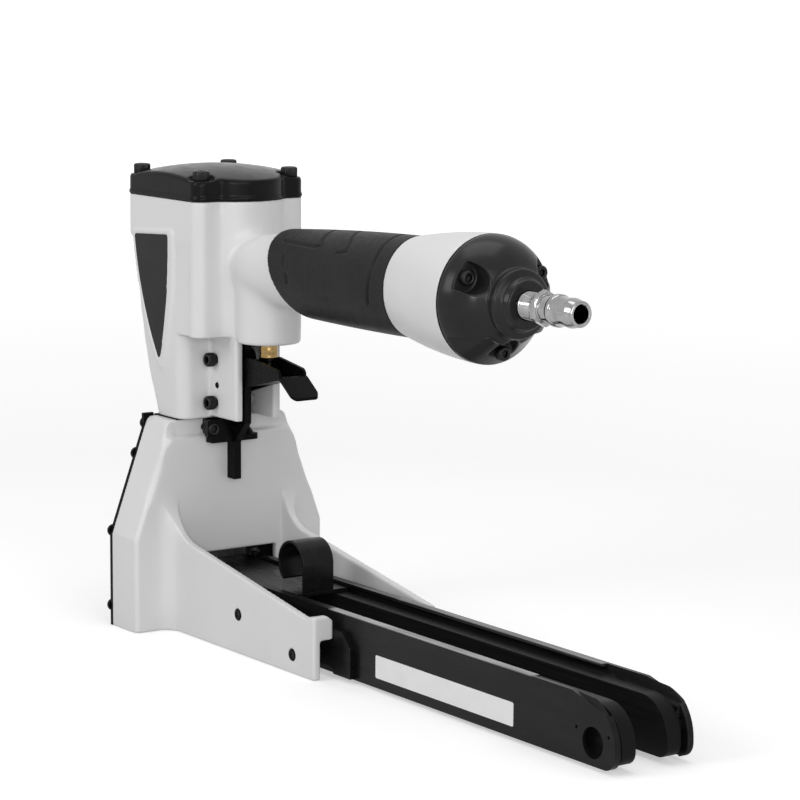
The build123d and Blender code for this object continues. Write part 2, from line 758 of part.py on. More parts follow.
def front_ribs():
    """Low rounded ribs across the bowed front."""
    arc = front_arc()
    bars = []
    for i in range(RIB_COUNT):
        z = NECK_BOTTOM + RIB_UP + i * RIB_PITCH
        x = arc.arc_center.X - math.sqrt(arc.radius**2 - (z - arc.arc_center.Y) ** 2)
        bars.append(rod_y(RIB_R, -BODY_TOP_HALF_W, BODY_TOP_HALF_W, x + RIB_R - RIB_H, z))
    return Part() + bars & cylinder_block(RIB_H)


def front_flange():
    """Flange under the cap, which fades into the block below it."""
    low = FLANGE_BOTTOM - FLANGE_LEAD
    drop = (BODY_TOP - low) / (BODY_TOP - NECK_BOTTOM)
    half_w = BODY_TOP_HALF_W - drop * (BODY_TOP_HALF_W - BODY_LOW_HALF_W)
    length = BODY_REAR - FRONT_TOP_X
    wide = RectangleRounded(2 * BODY_REAR, 2 * BODY_TOP_HALF_W, LOBE_R)
    narrow = Pos(BODY_REAR - length / 2, 0) * RectangleRounded(length, 2 * half_w, LOBE_R)
    lead = loft([Plane.XY.offset(FLANGE_BOTTOM) * wide, Plane.XY.offset(low) * narrow], ruled=True)
    return along_z(cap_plan(), FLANGE_BOTTOM, BODY_TOP) + lead


def rear_columns():
    """Screw columns and the round bulge at the back of the block."""
    behind = Pos(SCREW_X + BULGE_X, 0) * Rectangle(2 * BULGE_X, 4 * BODY_TOP_HALF_W)
    columns = along_z(cap_plan() & behind, NECK_TOP, BODY_TOP)
    for y in (-SCREW_Y, SCREW_Y):
        columns += rod_z(LOBE_R, NECK_TOP, BODY_TOP, SCREW_X, y)
    return columns


def valve_boss():
    """Upright round boss that carries the valve and rounds over into the handle's root."""
    boss = rod_z(BOSS_R, BOSS_BOTTOM, BOSS_TOP, VALVE_X)
    boss = fillet(boss.edges().sort_by(Axis.Z)[-1], BOSS_TOP_R)
    return fillet(boss.edges().sort_by(Axis.Z)[0], BOSS_EDGE_R)


def trigger_walls():
    """Two upright walls behind the neck that carry the trigger."""
    wall = block(NECK_REAR - NECK_EDGE_R, WALL_REAR, WALL_IN, WALL_OUT, NECK_BOTTOM + WALL_LIFT, NECK_TOP)
    edges = wall.edges().filter_by(Axis.Z).sort_by(Axis.X)[-2:]
    wall = fillet(edges, WALL_EDGE_R)
    return wall + other_side(wall)


def handle_root():
    """Handle between the block and the grip, which lies below the grip's skin and narrows forward."""
    rings = []
    for i in range(RING_STEPS + 1):
        share = i / RING_STEPS
        rings.append(handle_ring(SCREW_X + share * ROOT_L, ROOT_STEP + ROOT_NARROW * (1 - share) ** 2))
    return loft(rings) + (handle_skin(SCREW_X + ROOT_L, GRIP_END_X, ROOT_STEP) - behind_grip_edge())


def handle_flare():
    """Handle end that swells from the grip's oval to the round rim."""
    rings = []
    for i in range(RING_STEPS + 1):
        share = i / RING_STEPS
        grown = 1 - (1 - share) ** FLARE_BOW
        half_w = GRIP_HALF_W + grown * (RIM_R - GRIP_HALF_W)
        half_h = GRIP_END_R + grown * (RIM_R - GRIP_END_R)
        rings.append(Plane.YZ.offset(GRIP_END_X + share * FLARE_L) * Pos(0, AXIS_Z) * Ellipse(half_w, half_h))
    return loft(rings)


def handle_casting():
    """Handle root, the core under the grip and the flared end."""
    core = handle_skin(SCREW_X + ROOT_L, GRIP_END_X, GRIP_WALL)
    return handle_root() + core + handle_flare()


def upper_body():
    body = cylinder_block() + front_ribs() + front_flange() + rear_columns() + valve_boss()
    body += trigger_walls() + handle_casting()
    border = plate_outline(BORDER_LEFT, BORDER_RIGHT, BORDER_TOP, BORDER_POINT)
    body += extrude(plate_plane(-BORDER_H) * border, 2 * BORDER_H)
    body -= extrude(plate_plane(-PLATE_SINK) * plate_outline(), 2 * BORDER_H + PLATE_SINK)
    body -= rod_z(SLEEVE_R, FLOOR_Z, BODY_TOP)
    body -= rod_z(BUSH_R, FLOOR_Z - BUSH_H, FLOOR_Z)
    body -= rod_z(ROD_CLEAR_R, NECK_BOTTOM, FLOOR_Z)
    body -= rod_z(VALVE_SLEEVE_R, BOSS_BOTTOM, VALVE_SLEEVE_TOP, VALVE_X)
    body -= rod_z(STEM_R + RUN_GAP, BOSS_BOTTOM, VALVE_WELL_TOP, VALVE_X)
    body -= rod_x(HANDLE_BORE_R, HANDLE_BORE_X, RIM_X, 0, AXIS_Z)
    for x, y in cap_screw_places():
        body -= rod_z(M5_R + SEAT_GAP, CAP_TOP - CAP_SCREW_LENGTH, BODY_TOP, x, y)
    for y, z in end_screw_places():
        body -= rod_x(END_SCREW_R + SEAT_GAP, END_POCKET_X - END_SCREW_LENGTH, RIM_X, y, z)
    for x, z in SIDE_SCREW_PLACES:
        body -= rod_y(M5_R + SEAT_GAP, -WALL_OUT, WALL_OUT, x, z)
    body -= rod_y(PIVOT_R + SEAT_GAP, -WALL_OUT, WALL_OUT, PIVOT_X, PIVOT_Z)
    return body


def top_cap():
    """Low domed cap with a lip round its foot and a spot-faced seat for each screw."""
    crown = CAP_LOW + CAP_H
    cap = along_z(cap_plan(), CAP_LOW, crown)
    cap = cap & Pos(0, 0, crown - CAP_BALL_R) * Sphere(CAP_BALL_R)
    cap = fillet(cap.faces().sort_by(Axis.Z)[-1].edges(), CAP_EDGE_R)
    cap += along_z(cap_plan(CAP_LIP), CAP_LOW, CAP_LOW + CAP_LIP_H)
    for x, y in cap_screw_places():
        cap += rod_z(CAP_SEAT_R, CAP_LOW, CAP_TOP, x, y)
        cap -= rod_z(CAP_POCKET_R, CAP_TOP, crown, x, y)
        cap -= rod_z(M5_R + SEAT_GAP, CAP_LOW, CAP_TOP, x, y)
    return cap - rod_z(CAP_HOLLOW_R, CAP_LOW, CAP_LOW + CAP_HOLLOW_H)


def cap_gasket():
    gasket = along_z(cap_plan(), BODY_TOP, CAP_LOW) - rod_z(CAP_HOLLOW_R, BODY_TOP, CAP_LOW)
    for x, y in cap_screw_places():
        gasket -= rod_z(M5_R + SEAT_GAP, BODY_TOP, CAP_LOW, x, y)
    return gasket


def cap_screws():
    return [Pos(x, y, CAP_TOP) * socket_screw(CAP_SCREW_LENGTH) for x, y in cap_screw_places()]


def side_plate():
    outline = plate_outline(-SEAT_GAP, -SEAT_GAP, -SEAT_GAP, -SEAT_GAP)
    return extrude(plate_plane(-PLATE_SINK) * outline, PLATE_T)


def grip_grooves():
    """Moulded lines of the grip: cross grooves over its top and a line along each shoulder."""
    skin = handle_skin(0, GRIP_END_X) - handle_skin(0, GRIP_END_X, GROOVE_DEPTH)
    bars = []
    for back, limit in zip(GROOVE_SETBACKS, GROOVE_LIMITS):
        x = GRIP_MID_X + back
        bars.append(block(x, x + GROOVE_W, -RIM_R, RIM_R, GRIP_FRONT_Z + limit, BODY_TOP))
    front = GRIP_MID_X - GROOVE_LEAD
    low = GRIP_FRONT_Z + GROOVE_LIMITS[0]
    bars.append(block(front, GRIP_MID_X + GROOVE_SETBACKS[0] + GROOVE_W, -RIM_R, RIM_R, low, low + GROOVE_W))
    return skin & bars


def grip_sleeve():
    sleeve = handle_skin(0, GRIP_END_X) & behind_grip_edge()
    return sleeve - handle_skin(0, GRIP_END_X, GRIP_WALL) - grip_grooves()


def end_cap():
    """Domed cap with a stepped boss for the plug, a cone below it and an open pocket for each screw."""
    dome_x = END_CAP_X + END_DOME
    skirt = (END_CAP_X + END_SKIRT, RIM_R)
    dome = ThreePointArc(skirt, (END_CAP_X + END_BULGE, END_BULGE_R), (dome_x, END_DOME_R))
    rest = Polyline(
        (dome_x, END_DOME_R),
        (END_CAP_X + END_FOOT, END_STEP_R),
        (END_CAP_X + END_STEP, END_STEP_R),
        (END_CAP_X + END_SHOULDER, END_SHOULDER_R),
        (END_BOSS_X, END_BOSS_R),
        (END_BOSS_X, PLUG_THREAD_R + SEAT_GAP),
        (END_CAP_X + END_HOLLOW, PLUG_THREAD_R + SEAT_GAP),
        (END_CAP_X + END_HOLLOW, END_HOLLOW_R),
        (END_CAP_X, END_HOLLOW_R),
        (END_CAP_X, RIM_R),
        skirt,
    )
    profile = Plane.XZ * Pos(0, AXIS_Z) * make_face(dome + rest)
    cap = revolve(profile, Axis((0, 0, AXIS_Z), (1, 0, 0)))
    outer = [(END_CAP_X + END_STEP, END_STEP_R), (END_BOSS_X, END_BOSS_R)]
    rims = [cap.edges().sort_by_distance((x, r, AXIS_Z))[0] for x, r in outer]
    cap = fillet(rims, END_EDGE_R)
    low = (END_CAP_X + END_LOW, END_LOW_R)
    outside = turned([skirt, low, (END_BOSS_X, END_LOW_R), (END_BOSS_X, RIM_R)])
    cap -= outside & block(END_CAP_X, END_BOSS_X, -RIM_R, RIM_R, 0, AXIS_Z - END_LOW_DROP)
    for angle, (y, z) in zip(END_SCREW_ANGLES, end_screw_places()):
        pocket = Circle(END_POCKET_R) + Pos(RIM_R / 2, 0) * Rectangle(RIM_R, 2 * END_POCKET_R)
        cap -= along_x(Pos(y, z) * Rot(0, 0, angle) * pocket, END_POCKET_X, END_BOSS_X)
        cap -= rod_x(END_SCREW_R + SEAT_GAP, END_CAP_X, END_POCKET_X, y, z)
    return cap


def end_cap_gasket():
    gasket = rod_x(RIM_R, RIM_X, END_CAP_X, 0, AXIS_Z) - rod_x(END_HOLLOW_R, RIM_X, END_CAP_X, 0, AXIS_Z)
    for y, z in end_screw_places():
        gasket -= rod_x(END_SCREW_R + SEAT_GAP, RIM_X, END_CAP_X, y, z)
    return gasket


def end_cap_screws():
    screw = socket_screw(END_SCREW_LENGTH, M4_SCALE)
    return [facing_x(screw, END_POCKET_X, y, z) for y, z in end_screw_places()]


def air_plug():
    """Turned plug: thread, hexagon, neck, collar and the barrel that the coupling slides over."""
    lengths = (PLUG_THREAD_L, PLUG_HEX_L, PLUG_NECK_L, PLUG_COLLAR_L, PLUG_BARREL_L, PLUG_TAPER_L, PLUG_LIP_L)
    ends = [END_BOSS_X + sum(lengths[: i + 1]) for i in range(len(lengths))]
    thread_end, hex_end, neck_end, collar_end, barrel_end, taper_end, tip = ends
    seat = END_BOSS_X - PLUG_SEAT_L
    plug = turned(
        [
            (seat, PLUG_BORE_R),
            (seat, PLUG_THREAD_R),
            (thread_end, PLUG_THREAD_R),
            (thread_end, PLUG_NECK_R),
            (neck_end, PLUG_NECK_R),
            (neck_end, PLUG_COLLAR_R),
            (collar_end, PLUG_COLLAR_R),
            (collar_end, PLUG_BARREL_R),
            (barrel_end, PLUG_BARREL_R),
            (taper_end, PLUG_TAPER_R),
            (tip, PLUG_LIP_R),
            (tip, PLUG_BORE_R),
        ]
    )
    nut = Pos(0, AXIS_Z) * RegularPolygon(PLUG_HEX_AF / 2, 6, major_radius=False)
    return plug + (along_x(nut, thread_end, hex_end) - rod_x(PLUG_BORE_R, thread_end, hex_end, 0, AXIS_Z))


# Cylinder sleeve, piston and rod


def cylinder_sleeve():
    return rod_z(SLEEVE_R - SEAT_GAP, FLOOR_Z, BODY_TOP) - rod_z(BORE_R, FLOOR_Z, BODY_TOP)


def bumper():
    ring = rod_z(BORE_R - FREE_GAP, FLOOR_Z, FLOOR_Z + BUMPER_H)
    ring = chamfer(ring.edges().sort_by(Axis.Z)[-1], BUMPER_CHAMFER)
    return ring - rod_z(ROD_CLEAR_R, FLOOR_Z, FLOOR_Z + BUMPER_H)


def rod_bush():
    bush = rod_z(BUSH_R - SEAT_GAP, FLOOR_Z - BUSH_H, FLOOR_Z)
    return bush - rod_z(ROD_R + RUN_GAP, FLOOR_Z - BUSH_H, FLOOR_Z)


def piston_ring_place():
    low = PISTON_LOW + (PISTON_H - RING_H) / 2
    return low, low + RING_H


def piston():
    low, top = piston_ring_place()
    outer = BORE_R - 2 * RUN_GAP
    disc = rod_z(outer, PISTON_LOW, PISTON_TOP)
    disc -= rod_z(outer, low, top) - rod_z(outer - RING_DEPTH, low, top)
    return disc - rod_z(ROD_NECK_R + SEAT_GAP, PISTON_LOW, PISTON_TOP)


def piston_ring():
    low, top = piston_ring_place()
    outer = BORE_R - RUN_GAP
    inner = BORE_R - 2 * RUN_GAP - RING_DEPTH + SEAT_GAP
    return rod_z(outer, low, top) - rod_z(inner, low, top)


def piston_rod():
    rod = rod_z(ROD_R, CROSSHEAD_TOP - ROD_SOCKET, PISTON_LOW)
    return rod + rod_z(ROD_NECK_R, PISTON_LOW, PISTON_TOP + NUT_H)


def rod_nut():
    nut = along_z(RegularPolygon(NUT_AF / 2, 6, major_radius=False), PISTON_TOP, PISTON_TOP + NUT_H)
    return nut - rod_z(ROD_NECK_R + SEAT_GAP, PISTON_TOP, PISTON_TOP + NUT_H)


# Nose housing and what closes it


def wing_profile():
    """Side outline of a wing, with a sweeping root against the rear face."""
    corner = (NOSE_REAR_X, WING_ROOT_Z)
    high = WING_ROOT_Z + 2 * WING_ROOT_R
    outline = polygon(
        (NOSE_INNER_REAR, 0),
        (WING_END, 0),
        (WING_END, LIP_TOP),
        (WING_END - LIP_T, LIP_TOP),
        (WING_END - WING_TAIL, LIP_TOP - WING_TAIL_DROP),
        corner,
        (NOSE_REAR_X, high),
        (NOSE_INNER_REAR, high),
    )
    return rounded(outline, corner, WING_ROOT_R)


def wing():
    """One wing with its inward lip and the hollow blend at its root."""
    profile = wing_profile()
    plate = along_y(profile, WING_IN, WING_OUT)
    tail = plate.edges().filter_by(Axis.Z).sort_by_distance((WING_END, WING_OUT, LIP_LOW))[0]
    plate = fillet(tail, WING_EDGE_R)
    lip = block(WING_END - LIP_T, WING_END, MOUNT_PLATE_OUT, WING_IN, LIP_LOW, LIP_TOP)
    near = (NOSE_REAR_X, WING_OUT)
    side = (NOSE_REAR_X + WING_BLEND_R, WING_OUT)
    back = (NOSE_REAR_X, WING_OUT + WING_BLEND_R)
    reach = WING_BLEND_R * (1 - math.sqrt(0.5))
    hollow = ThreePointArc(side, (NOSE_REAR_X + reach, WING_OUT + reach), back)
    corner = make_face(Line(near, side) + hollow + Line(back, near))
    blend = along_z(corner, 0, NOSE_TOP) & along_y(profile, WING_OUT, WING_OUT + WING_BLEND_R)
    return plate + lip + blend


def nose_shell():
    """Flared casting with rounded top and rear edges, before it is hollowed."""
    shell = along_x(nose_outline(0, NOSE_TOP), NOSE_FRONT, NOSE_REAR_X)
    top_edges = [e for e in shell.edges().filter_by(Axis.X) if e.center().Z > NOSE_TOP - FREE_GAP]
    shell = fillet(top_edges, NOSE_TOP_R)
    rear = shell.faces().sort_by(Axis.X)[-1]
    shell = fillet([e for e in rear.edges() if FREE_GAP < e.center().Z < NOSE_TOP - FREE_GAP], NOSE_EDGE_R)
    ledge = polygon(
        (NOSE_REAR_X, LEDGE_Z),
        (2 * NOSE_REAR_X, LEDGE_Z),
        (2 * NOSE_REAR_X, 2 * NOSE_TOP),
        (LEDGE_X, 2 * NOSE_TOP),
        (LEDGE_X, LEDGE_Z + LEDGE_RISE),
    )
    return shell - along_y(ledge, -NOSE_HALF_W, NOSE_HALF_W)


def nose_housing():
    nose = nose_shell() + wing() + other_side(wing())
    nose -= along_x(nose_outline(0, CAVITY_TOP, NOSE_WALL), NOSE_FRONT, NOSE_INNER_REAR)
    nose -= block(NOSE_FRONT, 2 * NOSE_REAR_X, -OPENING_HALF_W, OPENING_HALF_W, SILL_T, OPENING_TOP)
    nose -= rod_z(ROD_CLEAR_R, CAVITY_TOP, NOSE_TOP)
    for y, z in front_screw_places():
        nose -= rod_x(BUTTON_SHANK_R + SEAT_GAP, NOSE_FRONT, FRONT_X + FRONT_SCREW_LENGTH, y, z)
    for x, z in WING_PIN_PLACES:
        nose -= rod_y(WING_PIN_R + SEAT_GAP, -WING_OUT, WING_OUT, x, z)
    screw_end = CLAMP_REAR - CLAMP_SCREW_LENGTH
    return nose - rod_x(FLAT_SHANK_R + SEAT_GAP, screw_end, CLAMP_REAR, -CLAMP_SCREW_Y, CLAMP_SCREW_Z)


def front_screw_places():
    half = [(nose_half_width(z, FRONT_SCREW_INSET), z) for z in FRONT_SCREW_Z]
    return half + [(-y, z) for y, z in half]


def front_plate():
    plate = along_x(nose_outline(0, NOSE_TOP), FRONT_X, NOSE_FRONT)
    lug_y = nose_half_width(FRONT_SCREW_Z[-1], FRONT_SCREW_INSET)
    for y in (-lug_y, lug_y):
        lug = block(FRONT_X, NOSE_FRONT, y - LUG_HALF_W, y + LUG_HALF_W, FRONT_SCREW_Z[-1], LUG_TOP)
        plate += lug - block(FRONT_X, NOSE_FRONT, -BODY_LOW_HALF_W, BODY_LOW_HALF_W, NOSE_TOP, LUG_TOP)
    for y, z in front_screw_places():
        plate -= rod_x(BUTTON_SHANK_R + SEAT_GAP, FRONT_X, NOSE_FRONT, y, z)
    for y in (-CLINCH_Y, CLINCH_Y):
        plate -= rod_x(CLINCH_PIN_R + SEAT_GAP, FRONT_X, NOSE_FRONT, y, CLINCH_Z)
    for y in (-GUIDE_SCREW_Y, GUIDE_SCREW_Y):
        plate -= rod_x(FLAT_HEAD_R + SEAT_GAP, FRONT_X, NOSE_FRONT, y, GUIDE_SCREW_Z)
    return plate


def front_plate_screws():
    screw = button_screw(FRONT_SCREW_LENGTH)
    return [facing_front(screw, FRONT_X, y, z) for y, z in front_screw_places()]


def body_gasket():
    gasket = block(FRONT_X, LEDGE_X, -BODY_LOW_HALF_W, BODY_LOW_HALF_W, NOSE_TOP, NECK_BOTTOM)
    return gasket - rod_z(ROD_CLEAR_R, NOSE_TOP, NECK_BOTTOM)


# Guides and clinchers inside the nose


def front_guide():
    """Block in front of the blade that also carries the clincher pins."""
    guide = block(NOSE_FRONT, YOKE_REAR, -GUIDE_WIDE, GUIDE_WIDE, GUIDE_LOW, GUIDE_TOP)
    guide += block(YOKE_REAR, PIN_HEAD_REAR, -GUIDE_NARROW, GUIDE_NARROW, GUIDE_LOW, GUIDE_TOP)
    for y in (-CLINCH_Y, CLINCH_Y):
        guide -= rod_x(CLINCH_PIN_R + SEAT_GAP, NOSE_FRONT, YOKE_REAR, y, CLINCH_Z)
    for y in (-GUIDE_SCREW_Y, GUIDE_SCREW_Y):
        guide -= rod_x(FLAT_SHANK_R + SEAT_GAP, NOSE_FRONT, FRONT_X + GUIDE_SCREW_LENGTH, y, GUIDE_SCREW_Z)
    return guide


def guide_screws():
    screw = flat_screw(GUIDE_SCREW_LENGTH, FRONT_PLATE_T)
    return [facing_front(screw, FRONT_X, y, GUIDE_SCREW_Z) for y in (-GUIDE_SCREW_Y, GUIDE_SCREW_Y)]


def blade_guide():
    half = BLADE_GUIDE_HALF_W
    return block(BLADE_T / 2 + FREE_GAP, NOSE_INNER_REAR, -half, half, OPENING_TOP, BLADE_GUIDE_TOP)


def clincher_pins():
    head_front = CLAW_REAR + FREE_GAP
    pin = rod_x(CLINCH_PIN_R, FRONT_X, head_front, CLINCH_Y, CLINCH_Z)
    pin += rod_x(CLINCH_HEAD_R, head_front, PIN_HEAD_REAR, CLINCH_Y, CLINCH_Z)
    return [pin, other_side(pin)]


def hook_outline():
    """Curved hook round the pivot, thinning to a point at its tip."""
    tip = HOOK_START
    end = tip + HOOK_REACH
    inner = HOOK_R - HOOK_DEPTH
    middle = (tip + end) / 2
    outer_arc = ThreePointArc(at_pivot(HOOK_R, tip), at_pivot(HOOK_R, middle), at_pivot(HOOK_R, end))
    heel = Line(at_pivot(HOOK_R, end), at_pivot(inner, end))
    taper = tip + HOOK_TAPER
    inside = at_pivot(inner, (taper + end) / 2)
    inner_arc = ThreePointArc(at_pivot(inner, end), inside, at_pivot(inner, taper))
    point = Line(at_pivot(inner, taper), at_pivot(HOOK_R, tip))
    return make_face(outer_arc + heel + inner_arc + point)


def clincher():
    """Right-hand clincher: hub, crank with the cam pin's eye, and the hook on its arm."""
    end = HOOK_START + HOOK_REACH
    inner = HOOK_R - HOOK_DEPTH / 2
    hub = Pos(CLINCH_Y, CLINCH_Z) * Circle(HUB_R)
    arm = polygon(
        at_pivot(HUB_R, end + ARM_SPREAD),
        at_pivot(inner, end),
        at_pivot(inner, end - HOOK_TAPER),
        at_pivot(HUB_R, end - HOOK_TAPER - ARM_SPREAD),
    )
    eye = Pos(*at_pivot(CRANK_R, CRANK_ANGLE)) * Circle(CRANK_EYE_R)
    middle = at_pivot(CRANK_R / 2, CRANK_ANGLE)
    crank = Pos(*middle) * Rot(0, 0, CRANK_ANGLE) * Rectangle(CRANK_R, CRANK_W)
    flat = hub + arm + crank + eye + hook_outline()
    claw = along_x(flat, CLAW_FRONT, CLAW_REAR) + along_x(hook_outline(), CLAW_FRONT, HOOK_BACK)
    claw -= rod_x(CLINCH_PIN_R + RUN_GAP, CLAW_FRONT, CLAW_REAR, CLINCH_Y, CLINCH_Z)
    return claw - rod_x(CAM_PIN_R + SEAT_GAP, CLAW_FRONT, CLAW_REAR, *at_pivot(CRANK_R, CRANK_ANGLE))


def cam_pin():
    return rod_x(CAM_PIN_R, YOKE_FRONT, CLAW_REAR, *at_pivot(CRANK_R, CRANK_ANGLE))


# Driver train


def yoke_slot():
    """Slot that takes the cam pin over the whole stroke."""
    path = cam_path()
    left = min(y for y, z in path)
    right = max(y for y, z in path)
    low = min(z for y, z in path)
    high = max(z for y, z in path)
    height = high - low + 2 * (CAM_PIN_R + FREE_GAP)
    width = right - left + height
    return Pos((left + right) / 2, (low + high) / 2) * SlotOverall(width, height)


def yoke_plate():
    """Plate on the crosshead whose two legs swing the clinchers."""
    wall = NOSE_WALL + YOKE_WALL_GAP
    leg_low = min(z for y, z in cam_path()) - CAM_PIN_R - FREE_GAP - YOKE_LEG_RIM
    half = [
        (nose_half_width(YOKE_TOP, wall), YOKE_TOP),
        (nose_half_width(NOSE_BEND_Z, wall), NOSE_BEND_Z),
        (nose_half_width(NOSE_BEND_Z, wall), leg_low),
        (YOKE_LEG_IN, leg_low),
        (YOKE_LEG_IN, YOKE_BRIDGE_LOW - YOKE_KNEE_H),
        (YOKE_BRIDGE_HALF_W, YOKE_BRIDGE_LOW),
    ]
    outline = polygon(*half, *[(-y, z) for y, z in reversed(half)])
    slot = yoke_slot()
    outline -= slot
    outline -= mirror(slot, Plane.YZ)
    plate = along_x(outline, YOKE_FRONT, YOKE_REAR)
    for y in (-YOKE_SCREW_Y, YOKE_SCREW_Y):
        plate -= rod_x(FLAT_HEAD_R + SEAT_GAP, YOKE_FRONT, YOKE_FRONT + FLAT_HEAD_H, y, YOKE_SCREW_Z)
        plate -= rod_x(FLAT_SHANK_R + SEAT_GAP, YOKE_FRONT, YOKE_REAR, y, YOKE_SCREW_Z)
    return plate


def yoke_screws():
    screw = flat_screw(YOKE_SCREW_LENGTH)
    return [facing_front(screw, YOKE_FRONT, y, YOKE_SCREW_Z) for y in (-YOKE_SCREW_Y, YOKE_SCREW_Y)]


def crosshead():
    half = CROSSHEAD_HALF_W
    head = block(YOKE_REAR, CROSSHEAD_REAR, -half, half, CROSSHEAD_LOW, CROSSHEAD_TOP)
    slot = BLADE_HALF_W + SEAT_GAP
    side = BLADE_T / 2 + SEAT_GAP
    head -= block(-side, side, -slot, slot, CROSSHEAD_LOW, CROSSHEAD_LOW + BLADE_GRIP)
    head -= rod_z(ROD_R + SEAT_GAP, CROSSHEAD_TOP - ROD_SOCKET, CROSSHEAD_TOP)
    head -= rod_x(BLADE_PIN_R + SEAT_GAP, YOKE_REAR, CROSSHEAD_REAR, 0, blade_pin_height())
    for y in (-YOKE_SCREW_Y, YOKE_SCREW_Y):
        head -= rod_x(FLAT_SHANK_R + SEAT_GAP, YOKE_REAR, YOKE_FRONT + YOKE_SCREW_LENGTH, y, YOKE_SCREW_Z)
    return head


def blade_pin_height():
    return CROSSHEAD_LOW + BLADE_GRIP / 2


def driver_blade():
    side = BLADE_T / 2
    top = CROSSHEAD_LOW + BLADE_GRIP
    blade = block(-side, side, -BLADE_HALF_W, BLADE_HALF_W, BLADE_LOW, top)
    return blade - rod_x(BLADE_PIN_R + SEAT_GAP, -side, side, 0, blade_pin_height())


def blade_pin():
    return rod_x(BLADE_PIN_R, YOKE_REAR, CROSSHEAD_REAR, 0, blade_pin_height())


# Guide web, clamp and trigger group


def guide_web():
    """Upright web between the trigger walls, with a tongue down the back of the nose."""
    outline = polygon(
        (NECK_REAR, WEB_TOP),
        (WEB_REAR, WEB_TOP),
        (WEB_REAR, NECK_BOTTOM - WEB_KNEE_DROP),
        (TONGUE_REAR, NECK_BOTTOM - TONGUE_KNEE_DROP),
        (TONGUE_REAR, NECK_BOTTOM - TONGUE_DROP),
        (NOSE_REAR_X, NECK_BOTTOM - TONGUE_DROP),
        (NOSE_REAR_X, NECK_BOTTOM),
        (NECK_REAR, NECK_BOTTOM),
    )
    web = along_y(outline, -WEB_T / 2, WEB_T / 2)
    neck = block(0, NECK_REAR, -WALL_IN, WALL_IN, NECK_BOTTOM, NECK_TOP)
    for x, z in SIDE_SCREW_PLACES:
        web += rod_y(WEB_BOSS_R, -WALL_IN, WALL_IN, x, z) - neck
    for x, z in SIDE_SCREW_PLACES:
        for y in (-WALL_IN, WALL_IN):
            end = math.copysign(WALL_OUT - SIDE_SCREW_LENGTH, y)
            web -= rod_y(M5_R + SEAT_GAP, min(y, end), max(y, end), x, z)
    return web - rod_y(PIVOT_R + SEAT_GAP, -WEB_T / 2, WEB_T / 2, PIVOT_X, PIVOT_Z)


def side_screws():
    screw = socket_screw(SIDE_SCREW_LENGTH)
    left = [facing_left(screw, x, -WALL_OUT, z) for x, z in SIDE_SCREW_PLACES]
    return left + [other_side(piece) for piece in left]


def clamp_block():
    """Block on the ledge of the nose, with a leaning outer side and a notch in its lower corner."""
    plan = polygon(
        (LEDGE_X, -WEB_T / 2),
        (CLAMP_REAR, -WEB_T / 2),
        (CLAMP_REAR, -CLAMP_SIDE),
        (LEDGE_X, -CLAMP_SIDE + CLAMP_TAPER),
    )
    clamp = along_z(plan, CLAMP_LOW, CLAMP_TOP)
    clamp -= block(LEDGE_X, NOSE_REAR_X, -CLAMP_SIDE, 0, CLAMP_LOW, LEDGE_Z + LEDGE_RISE)
    notch_y = -CLAMP_SIDE + CLAMP_NOTCH_W
    clamp -= block(LEDGE_X, CLAMP_REAR, -CLAMP_SIDE, notch_y, CLAMP_LOW, CLAMP_LOW + CLAMP_NOTCH_H)
    head = CLAMP_REAR - FLAT_HEAD_H
    clamp -= rod_x(FLAT_HEAD_R + SEAT_GAP, head, CLAMP_REAR, -CLAMP_SCREW_Y, CLAMP_SCREW_Z)
    return clamp - rod_x(FLAT_SHANK_R + SEAT_GAP, LEDGE_X, CLAMP_REAR, -CLAMP_SCREW_Y, CLAMP_SCREW_Z)


def clamp_screw():
    return facing_x(flat_screw(CLAMP_SCREW_LENGTH), CLAMP_REAR, -CLAMP_SCREW_Y, CLAMP_SCREW_Z)


def locating_stud():
    """Stud on a flat foot beside the web."""
    top = CLAMP_LOW + FOOT_T
    foot = block(NOSE_REAR_X, CLAMP_REAR, WEB_T / 2, FOOT_SIDE, CLAMP_LOW, top)
    foot = fillet(foot.edges().filter_by(Axis.Z).sort_by(Axis.Y)[-2:], FOOT_CORNER_R)
    cone = Pos(STUD_X, STUD_Y, top + STUD_CONE_H / 2) * Cone(STUD_CONE_R, STUD_R, STUD_CONE_H)
    cone -= block(0, NOSE_REAR_X, -NOSE_HALF_W, NOSE_HALF_W, top, top + STUD_CONE_H)
    return foot + cone + rod_z(STUD_R, top, NECK_BOTTOM + STUD_RISE, STUD_X, STUD_Y)


def trigger_pin():
    return rod_y(PIVOT_R, -WALL_OUT + PIVOT_SINK, WALL_OUT - PIVOT_SINK, PIVOT_X, PIVOT_Z)


